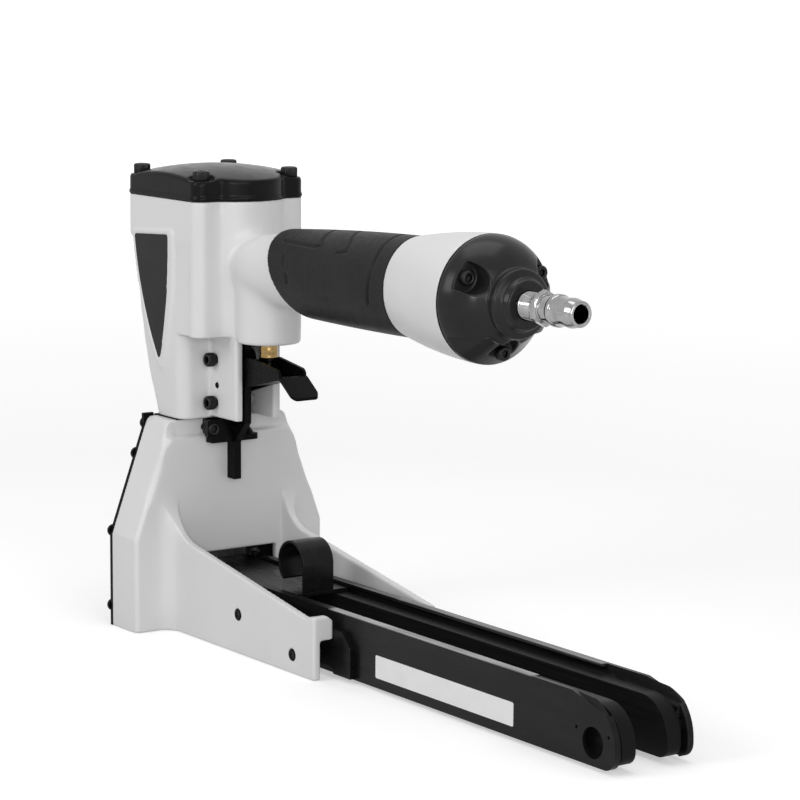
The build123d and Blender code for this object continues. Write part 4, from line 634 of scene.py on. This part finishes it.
# Sizes of an M5 screw's head, which the others follow in proportion
HEAD_R = 4.25
HEAD_H = 5.0
HEAD_TEETH = 30
KNURL_DEPTH = 0.28
SHANK_R = 2.5
SOCKET_W = 4.0

# Rows of (distance in from the end, share of the radius) of a pin's dimpled end
PIN_END = [(0.25, 0), (0.25, 0.38), (0.0, 0.55), (0.0, 0.85), (0.15, 0.95), (0.45, 1.0)]
PIN_POINTS = 48


def socket_head_rows(radius, length):
    """A socket head screw with a knurled head, standing on the seat of its head."""
    unit = radius / HEAD_R
    top = HEAD_H * unit
    wall = knurl(radius, KNURL_DEPTH * unit, HEAD_TEETH)
    socket = hexagon(SOCKET_W * unit)
    return [
        (-length, 0),
        (-length, (SHANK_R - 0.5) * unit),
        (-length + 0.6 * unit, SHANK_R * unit),
        (0, SHANK_R * unit),
        (0, radius - 0.35 * unit),
        (0.3 * unit, wall),
        (top - 0.75 * unit, wall),
        (top - 0.45 * unit, radius - 0.2 * unit),
        (top - 0.1 * unit, radius - 0.55 * unit),
        (top, radius - 0.85 * unit),
        (top, 2.75 * unit),
        (top - 0.35 * unit, socket),
        (top - 2.6 * unit, socket),
        (top - 3.3 * unit, 0),
    ]


def screws(node, axis=None, scale=1.0, shank=None, proud=0.0):
    """Screws with knurled heads and six-sided sockets, facing along an axis or else sideways."""
    form = bmesh.new()
    for low, high in islands(node):
        middle, size = (low + high) / 2, high - low
        way = Vector(axis or (0, math.copysign(1, middle.y), 0))
        reach = abs(size.dot(way))
        radius = scale * min(size) / 2
        head = HEAD_H * radius / HEAD_R
        seat = middle + way * (reach / 2 - head + proud)
        turned(form, socket_head_rows(radius, shank or reach - head), seat, way, 4 * HEAD_TEETH)
    over_node(node, built(form, node + "_form"), SCREW_BLACK)


def pins(node, proud=0.0, material=None):
    """Round pins across the object with eased ends and a shallow dimple in each."""
    form = bmesh.new()
    for low, high in islands(node):
        half = (high.y - low.y) / 2 + proud
        radius = (high.x - low.x) / 2
        rows = [(inset - half, share * radius) for inset, share in PIN_END]
        rows += [(half - inset, share * radius) for inset, share in PIN_END[::-1]]
        turned(form, rows, (low + high) / 2, (0, 1, 0), PIN_POINTS)
    over_node(node, built(form, node + "_form"), material)


# Castings and mouldings

CASTING_VOXEL = 0.65
MOULDING_VOXEL = 0.5

# Border of the side plate as (x, z), and how far it and the ribs of the front are drawn out
PLATE_BORDER = [
    (12.6, 205.1), (12.4, 192.0), (11.3, 179.0), (9.2, 166.1), (6.4, 153.3), (2.6, 140.8),
    (-2.0, 128.6), (-8.8, 140.0), (-14.6, 151.9), (-19.4, 164.3), (-23.2, 177.0),
    (-25.9, 189.9), (-27.6, 203.1),
]
BORDER_LIFT = 0.5
BORDER_EDGE = (-0.2, 0.5)
PLATE_SIDE_Y = -27
RIB_LOW = 132.0
RIB_PITCH = 14.3
RIB_COUNT = 4
RIB_LIFT = 0.7
RIB_FACING = (0.3, 0.8)
RIB_REAR = -5

# Where the body's handle root and the pockets of its side screws are smoothed
ROOT_X, ROOT_Z = (34, 40, 82, 86), (150, 157, 214, 217)
POCKET_X, POCKET_Y, POCKET_Z = (-8, -2, 38, 40), (12, 15), (128, 134, 165, 170)

# The nose's flared sides and the ridges at its rear corners
NOSE_REAR = 14.2
NOSE_HALF_W = 56.7
NOSE_BEND_Z = 48.3
NOSE_SLOPE = 0.3615
RIDGE_WIDE, RIDGE_NARROW = 5.0, 2.2
RIDGE_FADE_Z = (94, 98.2)

# The wings: the lip at the near one's end, and the far one's tail, which is cut to a point
WING_OUT = 36.0
WING_L = 131.8
WING_ROOT_TOP = 50.3
LIP_TOP = 30.6
LIP_CORNER = [(-24, LIP_TOP - 3), (-24, LIP_TOP + 1), (-29, LIP_TOP + 1)]
LIP_L = 9
TAIL_L = 7.6
TAIL_TOP = LIP_TOP - 1.5
TAIL_SLOPE = (WING_ROOT_TOP - TAIL_TOP) / (WING_L - TAIL_L)
TAIL_CUT_X = (WING_END - TAIL_L - 40, WING_END + 2)
TAIL_CUT_Y = (20, WING_OUT + 5)
TAIL_CUT_TOP = 60

# Where the wings' tops and roots are smoothed
TOPS_X, TOPS_Y, TOPS_Z = (5, 9), (28, 31), (64, 70, 84, 90)
ROOTS_X, ROOTS_Y, ROOTS_Z = (6, 12, 34, 50), (31, 33), (2, 8)

# The grip's grooves as lines of (distance along, angle from the top), the same on both sides
GRIP_AXIS_Z = 190.0
GRIP_R = 22.0
GRIP_SKIN_R = 19.4
GROOVE_DEPTH = 0.9
GROOVE_HALF_W = 0.75
GRIP_GROOVES = [
    [
        (112, 0), (114.2, 18.8), (116, 30.6), (119.1, 43.5),
        (114.2, 46.6), (100.3, 44.8), (85.6, 42.1),
    ],
    [(131.5, 0), (137.2, 20.2), (141.7, 36.4), (143, 48.1), (136.1, 50.8)],
    [(168, 0), (168.3, 26), (169.1, 40), (169.2, 55), (168.8, 70), (168.3, 86), (167, 109)],
    [(92.9, 66.5), (95.3, 79.5)],
    [(98.3, 90), (99.2, 101)],
]


def raised(mesh):
    """The body with the border round its side plate and the ribs of its front drawn out."""
    spots = vertex_spots(mesh)
    x, y, z = spots.T
    inside = np.full(len(spots), np.inf)
    for (x0, z0), (x1, z1) in zip(PLATE_BORDER, PLATE_BORDER[1:] + PLATE_BORDER[:1]):
        off = (x - x0) * (z1 - z0) - (z - z0) * (x1 - x0)
        inside = np.minimum(inside, off / math.hypot(x1 - x0, z1 - z0))
    spots[:, 1] -= BORDER_LIFT * ramp(inside, *BORDER_EDGE) * (y < PLATE_SIDE_Y)
    count = (z - RIB_LOW) / RIB_PITCH
    ribbed = band(count, -0.5, -0.4, RIB_COUNT - 0.6, RIB_COUNT - 0.5) * (x < RIB_REAR)
    facing = ramp(-vertex_values(mesh, "normal")[:, 0], *RIB_FACING)
    spots[:, 0] -= RIB_LIFT * ribbed * facing * (0.5 + 0.5 * np.cos(math.tau * count))
    return put_vertices(mesh, spots)


def squared(mesh, rear, side, wide, narrow, weight):
    """A mesh with the rounds of its rear corners drawn out to narrower ones, by a weight."""
    skin, least = 0.6, 0.1
    spots = vertex_spots(mesh)
    x, y, z = spots.T
    u, v = x - rear + wide, np.abs(y) - side(z) + wide
    reach = np.hypot(u, v)
    on_round = (u > 0) & (v > 0) & (reach > wide - skin)
    a, b = u / np.maximum(reach, least), v / np.maximum(reach, least)
    middle = wide - narrow
    toward = middle * (a + b)
    corner = toward + np.sqrt(np.maximum(toward ** 2 - 2 * middle ** 2 + narrow ** 2, 0))
    flat = wide / np.maximum(np.maximum(a, b), least)
    on_flat = np.minimum(a, b) * flat < middle
    share = np.where(on_round, np.where(on_flat, flat, corner) / wide - 1, 0) * weight(z)
    spots[:, 0] += u * share
    spots[:, 1] += np.sign(y) * v * share
    put_vertices(mesh, spots)
    return relaxed(mesh, lambda x, y, z: on_round * weight(z), rounds=3)


def upper_body():
    """The body casting, with its handle root and valve boss run together in soft hollows."""
    def root(x, y, z):
        return band(x, *ROOT_X) * band(z, *ROOT_Z)

    def pockets(x, y, z):
        return ramp(np.abs(y), *POCKET_Y) * band(x, *POCKET_X) * band(z, *POCKET_Z)

    form = raised(softened(solid("upper_body"), CASTING_VOXEL, rounds=4))
    form = relaxed(form, root, rounds=40)
    form = relaxed(form, root, rounds=220, hollows_only=True)
    form = relaxed(form, pockets, rounds=90, hollows_only=True)
    over_node("upper_body", form)


def nose_housing():
    """The nose casting, with the wing roots run into it and the far wing's tail cut to a point."""
    tail = [(x, TAIL_TOP - (x - WING_END + TAIL_L) * TAIL_SLOPE) for x in TAIL_CUT_X]
    above = [(x, TAIL_CUT_TOP) for x in TAIL_CUT_X[::-1]]
    over_tail = prism(tail + above, "Y", *TAIL_CUT_Y)
    corner = prism(LIP_CORNER, "X", WING_END - LIP_L, WING_END + 1)

    def tops(x, y, z):
        return ramp(x, *TOPS_X) * ramp(np.abs(y), *TOPS_Y) * band(z, *TOPS_Z)

    def roots(x, y, z):
        return band(x, *ROOTS_X) * ramp(np.abs(y), *ROOTS_Y) * ramp(z, *ROOTS_Z)

    def flare(z):
        return np.minimum(NOSE_HALF_W, NOSE_HALF_W - (z - NOSE_BEND_Z) * NOSE_SLOPE)

    def ridge(z):
        return 1 - ramp(z, *RIDGE_FADE_Z)

    form = softened(cut("nose_housing", over_tail, corner), CASTING_VOXEL, rounds=4)
    form = squared(form, NOSE_REAR, flare, RIDGE_WIDE, RIDGE_NARROW, ridge)
    form = relaxed(form, tops, rounds=40)
    form = relaxed(form, roots, rounds=220, hollows_only=True)
    over_node("nose_housing", form)


def grip_sleeve():
    """The rubber sleeve with its grooves pressed in."""
    def skin(x, y, z):
        return np.hypot(y, z - GRIP_AXIS_Z) > GRIP_SKIN_R

    mesh = softened(solid("grip_sleeve"), MOULDING_VOXEL, rounds=2)
    mesh = relaxed(mesh, skin, rounds=60, hollows_only=True)
    spots = vertex_spots(mesh)
    x, y, z = spots.T
    around = GRIP_R * np.arctan2(np.abs(y), z - GRIP_AXIS_Z)
    nearest = np.full(len(spots), np.inf)
    for line in GRIP_GROOVES:
        places = [np.array((along, GRIP_R * math.radians(angle))) for along, angle in line]
        for a, b in zip(places, places[1:]):
            off = np.stack((x - a[0], around - a[1]))
            share = np.clip((off.T @ (b - a)) / ((b - a) @ (b - a)), 0, 1)
            nearest = np.minimum(nearest, np.hypot(*(off - np.outer(b - a, share))))
    depth = GROOVE_DEPTH * skin(x, y, z) * np.exp(-(nearest / GROOVE_HALF_W) ** 2)
    put_vertices(mesh, spots - vertex_values(mesh, "normal") * depth[:, None])
    over_node("grip_sleeve", mesh)


# Magazine

ACROSS = (-30, 30)

# A plate's end is turned in, and its rear top corner has a slanted facet through places of
# (distance from the end, drop of its outer edge, drop of its inner edge)
TURN_IN = 1.5
TURN_IN_L = 6
FACET = [(30, 0, 0), (6.6, 5.9, 1.6), (-0.2, 13, 9)]
FACET_DEPTH = 2.0
FACET_LAP = 0.1
FACET_ROOM = 2

# Small holes as (distance from the end, height), and the round hole of the end
DOTS = [(26.2, 16.6), (4.4, 16.5)]
DOT_R, DOT_DEPTH = 0.8, 1.2
HOLE_SETBACK, HOLE_UP, HOLE_R = 14.9, 10.3, 7.2

MOUNT_NOTCH = [(40, 0), (146, 0), (146, 3.4), (144.4, 5.1), (40, 5.1)]

STICKER_X = (WING_END + 31.6, WING_END + 138.2)
STICKER_Z = (MAG_LOW.z + 4.9, MAG_LOW.z + 15.9)
STICKER_T = 0.12
STICKER_ROUND = 0.8
ROUND_POINTS = 6


def magazine_side(node, side):
    """One outer plate with a facet at its rear top corner, a turned-in end and two small holes."""
    low, high = box_mm(node)
    end, top = high.x, high.z
    face = side * max(abs(low.y), abs(high.y))
    inner = face - side * FACET_DEPTH
    plate = solid(node)
    turned_in = plate.copy()
    turned_in.transform(Matrix.Translation((0, -side * TURN_IN * MM, 0)))
    room = prism(rectangle(end - TURN_IN_L, -1, end + 1, top + 1), "Y", *ACROSS)
    plate = worked(plate, "UNION", worked(turned_in, "INTERSECT", room))
    for step in zip(FACET, FACET[1:]):
        spots = []
        for back, outer_drop, inner_drop in step:
            x, edge = end - back, top - inner_drop + FACET_LAP
            spots += [(x, face, top - outer_drop), (x, inner, edge), (x, face + side, edge)]
            spots += [(x, y, top + FACET_ROOM) for y in (face + side, inner)]
        plate = worked(plate, "DIFFERENCE", hull(spots))
    for back, z in DOTS:
        dot = circle(end - back, z, DOT_R, points=12)
        reach = sorted((face + side, face - side * DOT_DEPTH))
        plate = worked(plate, "DIFFERENCE", prism(dot, "Y", *reach))
    over_node(node, eased(plate, width=0.3))


def magazine_spacers():
    """The spacers, with the hole at the magazine's end run on through the last pair."""
    hole = circle(MAG_HIGH.x - HOLE_SETBACK, MAG_LOW.z + HOLE_UP, HOLE_R, points=48)
    spacers = cut("magazine_spacers", prism(hole, "Y", *ACROSS))
    over_node("magazine_spacers", eased(spacers, width=0.3))


def mount_plate(node):
    """A mount plate with a step in its lower edge under the wing's tail."""
    over_node(node, eased(cut(node, prism(MOUNT_NOTCH, "Y", *ACROSS)), width=0.4))


def sticker():
    """A blank film with rounded corners on the left side of the magazine."""
    (front, back), (bottom, top) = STICKER_X, STICKER_Z
    r = STICKER_ROUND
    corners = [
        (back - r, bottom + r, 270),
        (back - r, top - r, 0),
        (front + r, top - r, 90),
        (front + r, bottom + r, 180),
    ]
    outline = []
    for x, z, start in corners:
        for i in range(ROUND_POINTS):
            angle = math.radians(start + 90 * i / (ROUND_POINTS - 1))
            outline.append((x + r * math.cos(angle), z + r * math.sin(angle)))
    film = prism(outline, "Y", MAG_LOW.y - STICKER_T, MAG_LOW.y)
    film.name = "blank_sticker"
    add_piece("blank_sticker", film, "plate_black", "frame", blank_film())


# Air plug

PLUG_BORE_R = 4.2
PLUG_NECK_R = 6.3
PLUG_POINTS = 96
THREAD_START = 37.5
THREAD_L = 9.3
THREAD_R, THREAD_END_R = 6.45, 5.9
THREAD_PITCH = 1.34
THREAD_DEPTH = 0.75
THREAD_STEPS = 8
HEX_L = 4.4
HEX_W = 14.4
HEX_ROUND = (0.0, 0.2, 0.45, 0.8, 1.2)
HEX_FACE_IN = 0.3
CHAMFER_DEPTH, CHAMFER_RISE = 1.3, 1.7
SHOULDER_R, SHOULDER_L = 6.7, 0.4

# Rows of (distance back from the tip, radius) of the collar and the rounded tip
PLUG_TIP = [
    (18.2, 6.3), (17.8, 6.6), (17.5, 7.2), (17.1, 7.4), (14.8, 7.4), (14.4, 7.2), (14.1, 6.85),
    (13.0, 6.75), (11.0, 6.55), (8.6, 6.6), (6.6, 6.75), (5.4, 6.8), (4.0, 6.55), (2.4, 6.15),
    (1.2, 5.85), (0.8, 5.95), (0.35, 5.85), (0.1, 5.6), (0, 5.3), (0, 4.6), (0.4, 4.2),
]


def air_plug():
    """The plug with its screw thread, chamfered hexagon, collar and rounded tip."""
    low, high = box_mm("air_plug")
    tip = high.x - low.x
    start = tip - THREAD_START
    end = start + THREAD_L
    hex_end = end + HEX_L
    flat = hexagon(HEX_W)

    def thread(along):
        def radius(angle):
            turn = (along / THREAD_PITCH + angle / math.tau) % 1
            return THREAD_R - THREAD_DEPTH * abs(2 * turn - 1)
        return radius

    def chamfered(room):
        corner = HEX_W / math.sqrt(3) - CHAMFER_DEPTH + CHAMFER_RISE * room
        return lambda angle: min(flat(angle), corner)

    rows = [(0, PLUG_BORE_R), (0, PLUG_NECK_R), (start, PLUG_NECK_R)]
    steps = round(THREAD_L / THREAD_PITCH * THREAD_STEPS)
    places = [THREAD_L * i / steps for i in range(1, steps)]
    rows += [(start + place, thread(place)) for place in places]
    rows += [(end, THREAD_END_R), (end, HEX_W / 2 - HEX_FACE_IN)]
    rows += [(end + room, chamfered(room)) for room in HEX_ROUND]
    rows += [(hex_end - room, chamfered(room)) for room in HEX_ROUND[::-1]]
    rows += [(hex_end, SHOULDER_R), (hex_end + SHOULDER_L, PLUG_NECK_R)]
    rows += [(tip - back, radius) for back, radius in PLUG_TIP]
    rows += [(0, PLUG_BORE_R)]
    form = bmesh.new()
    place = (low.x, (low.y + high.y) / 2, (low.z + high.z) / 2)
    turned(form, rows, place, (1, 0, 0), PLUG_POINTS)
    bmesh.ops.remove_doubles(form, verts=form.verts, dist=SAME_SPOT * MM)
    over_node("air_plug", built(form, "air_plug_form", angle=28))


# Sheet, bar and turned pieces

# Pieces whose edges are only broken, and by how much
EASED = {
    "front_plate": 0.4,
    "clamp_block": 0.5,
    "locating_stud": 0.4,
    "trigger_lever": 0.4,
    "inner_rail_left": 0.4,
    "inner_rail_right": 0.4,
    "pusher": 0.4,
    "finger_loop": 0.3,
}

# The web's lower bosses, which the photograph doesn't show
BOSS_OUTLINE = rectangle(12, 110, 33, 123)
BOSS_SIDES = [(-12, -2.6), (2.6, 12)]


def guide_web():
    """The web between the trigger walls, without its lower bosses."""
    bosses = [prism(BOSS_OUTLINE, "Y", *sides) for sides in BOSS_SIDES]
    over_node("guide_web", eased(cut("guide_web", *bosses), width=0.4))


def side_plate():
    """The bare plate, which stands on its drawn out border."""
    plate = eased(solid("side_plate"), width=0.3)
    plate.transform(Matrix.Translation((0, -BORDER_LIFT * MM, 0)))
    over_node("side_plate", plate)


upper_body()
nose_housing()
grip_sleeve()
magazine_side("magazine_side_left", -1)
magazine_side("magazine_side_right", 1)
magazine_spacers()
mount_plate("mount_plate_left")
mount_plate("mount_plate_right")
over_node("top_cap", softened(solid("top_cap"), MOULDING_VOXEL, rounds=4))
over_node("end_cap", softened(solid("end_cap"), MOULDING_VOXEL, rounds=3), END_CAP_SHEEN_BLACK)
for name, width in EASED.items():
    over_node(name, eased(solid(name), width))
guide_web()
side_plate()
over_node("valve_stem", eased(solid("valve_stem"), width=0.2), STEM_BRASS)
screws("cap_screws", (0, 0, 1))
screws("end_cap_screws", (1, 0, 0))
screws("side_screws", scale=0.84, shank=2)
screws("clamp_screw", (1, 0, 0), proud=0.4)
pins("wing_pins")
pins("trigger_pin", proud=1.6, material=FINISHES["black_steel"])
air_plug()
sticker()


# Stage, light and camera

FLOOR_HALF = 30.0
FLOOR_DROP = 0.0002
FLOOR_GREY = 0.62
FLOOR_GLOW = (0.43, 0.90)
GLOW_REACH = (0.5, 2.5)
WORLD_LIGHT = 0.38

# Lamps as (name, place, size, power)
LAMP_TARGET = (0.12, 0, 0.12)
LAMPS = [
    ("key", (0.0, -0.9, 0.6), (0.45, 0.45), 3.4),
    ("front", (1.75, -1.15, 0.5), (0.4, 0.4), 8),
    ("fill", (1.9, -0.35, 0.8), (1.0, 1.0), 10),
    ("top", (0.0, 0.1, 1.9), (1.6, 1.2), 13),
]

CAMERA_PLACE = (1.2967, -0.8034, 0.3514)
CAMERA_AZIMUTH = 54.63
CAMERA_ELEVATION = 8.84
CAMERA_ROLL = 0.38
SENSOR_MM = 36
LENS_MM = 133.7


def seen_directly(tree):
    """1 for rays that come straight from the camera, from a mirror or through glass, else 0."""
    path = tree.nodes.new("ShaderNodeLightPath").outputs
    total = path["Is Camera Ray"]
    for kind in ("Is Glossy Ray", "Is Transmission Ray"):
        total = combined(tree, "MAXIMUM", total, path[kind])
    return total


def backdrop():
    """A pale floor that shows white to the camera and keeps the object's shadow."""
    mesh = bpy.data.meshes.new("floor")
    corners = rectangle(-FLOOR_HALF, -FLOOR_HALF, FLOOR_HALF, FLOOR_HALF)
    mesh.from_pydata([(*corner, 0) for corner in corners], [], [(0, 1, 2, 3)])
    floor = placed("floor", mesh)
    floor.location.z = -FLOOR_DROP
    mat = bpy.data.materials.new("pale_floor")
    mat.use_nodes = True
    tree = mat.node_tree
    shader = tree.nodes["Principled BSDF"]
    shader.inputs["Base Color"].default_value = (*grey(FLOOR_GREY), 1)
    shader.inputs["Roughness"].default_value = 0.9
    shader.inputs["Specular IOR Level"].default_value = 0.1
    shader.inputs["Emission Color"].default_value = (1, 1, 1, 1)
    spot = tree.nodes.new("ShaderNodeNewGeometry")
    reach = tree.nodes.new("ShaderNodeVectorMath")
    reach.operation = "LENGTH"
    tree.links.new(spot.outputs["Position"], reach.inputs[0])
    glow = ranged(tree, reach.outputs["Value"], *FLOOR_GLOW, *GLOW_REACH)
    glow = combined(tree, "MULTIPLY", glow, seen_directly(tree))
    tree.links.new(glow, shader.inputs["Emission Strength"])
    mesh.materials.append(mat)


def lamp(name, place, size, power):
    """A soft lamp that faces the object."""
    data = bpy.data.lights.new(name, "AREA")
    data.shape = "RECTANGLE"
    data.size, data.size_y = size
    data.energy = power
    light = placed(name, data)
    light.location = place
    way = Vector(LAMP_TARGET) - Vector(place)
    light.rotation_euler = way.to_track_quat("-Z", "Y").to_euler()


def studio():
    """The lamps and a plain world that shows white to the camera."""
    world = bpy.data.worlds.new("studio")
    bpy.context.scene.world = world
    world.use_nodes = True
    tree = world.node_tree
    sky = tree.nodes["Background"]
    sky.inputs["Color"].default_value = (1, 1, 1, 1)
    strength = ranged(tree, seen_directly(tree), WORLD_LIGHT, 1)
    tree.links.new(strength, sky.inputs["Strength"])
    for row in LAMPS:
        lamp(*row)


def camera():
    """The photograph's viewpoint, which looks down a little from behind the left side."""
    angles = (CAMERA_AZIMUTH, CAMERA_ELEVATION, CAMERA_ROLL)
    azimuth, elevation, roll = map(math.radians, angles)
    flat = math.cos(elevation)
    back = Vector((math.sin(azimuth) * flat, -math.cos(azimuth) * flat, math.sin(elevation)))
    right = Vector((math.cos(azimuth), math.sin(azimuth), 0))
    up = back.cross(right)
    turned_right = right * math.cos(roll) + up * math.sin(roll)
    turned_up = up * math.cos(roll) - right * math.sin(roll)
    data = bpy.data.cameras.new("camera")
    data.sensor_width = SENSOR_MM
    data.lens = LENS_MM
    cam = placed("camera", data)
    turn = Matrix((turned_right, turned_up, back)).transposed()
    cam.matrix_world = Matrix.Translation(CAMERA_PLACE) @ turn.to_4x4()
    bpy.context.scene.camera = cam


backdrop()
studio()
camera()
bpy.context.scene.view_settings.view_transform = "Standard"
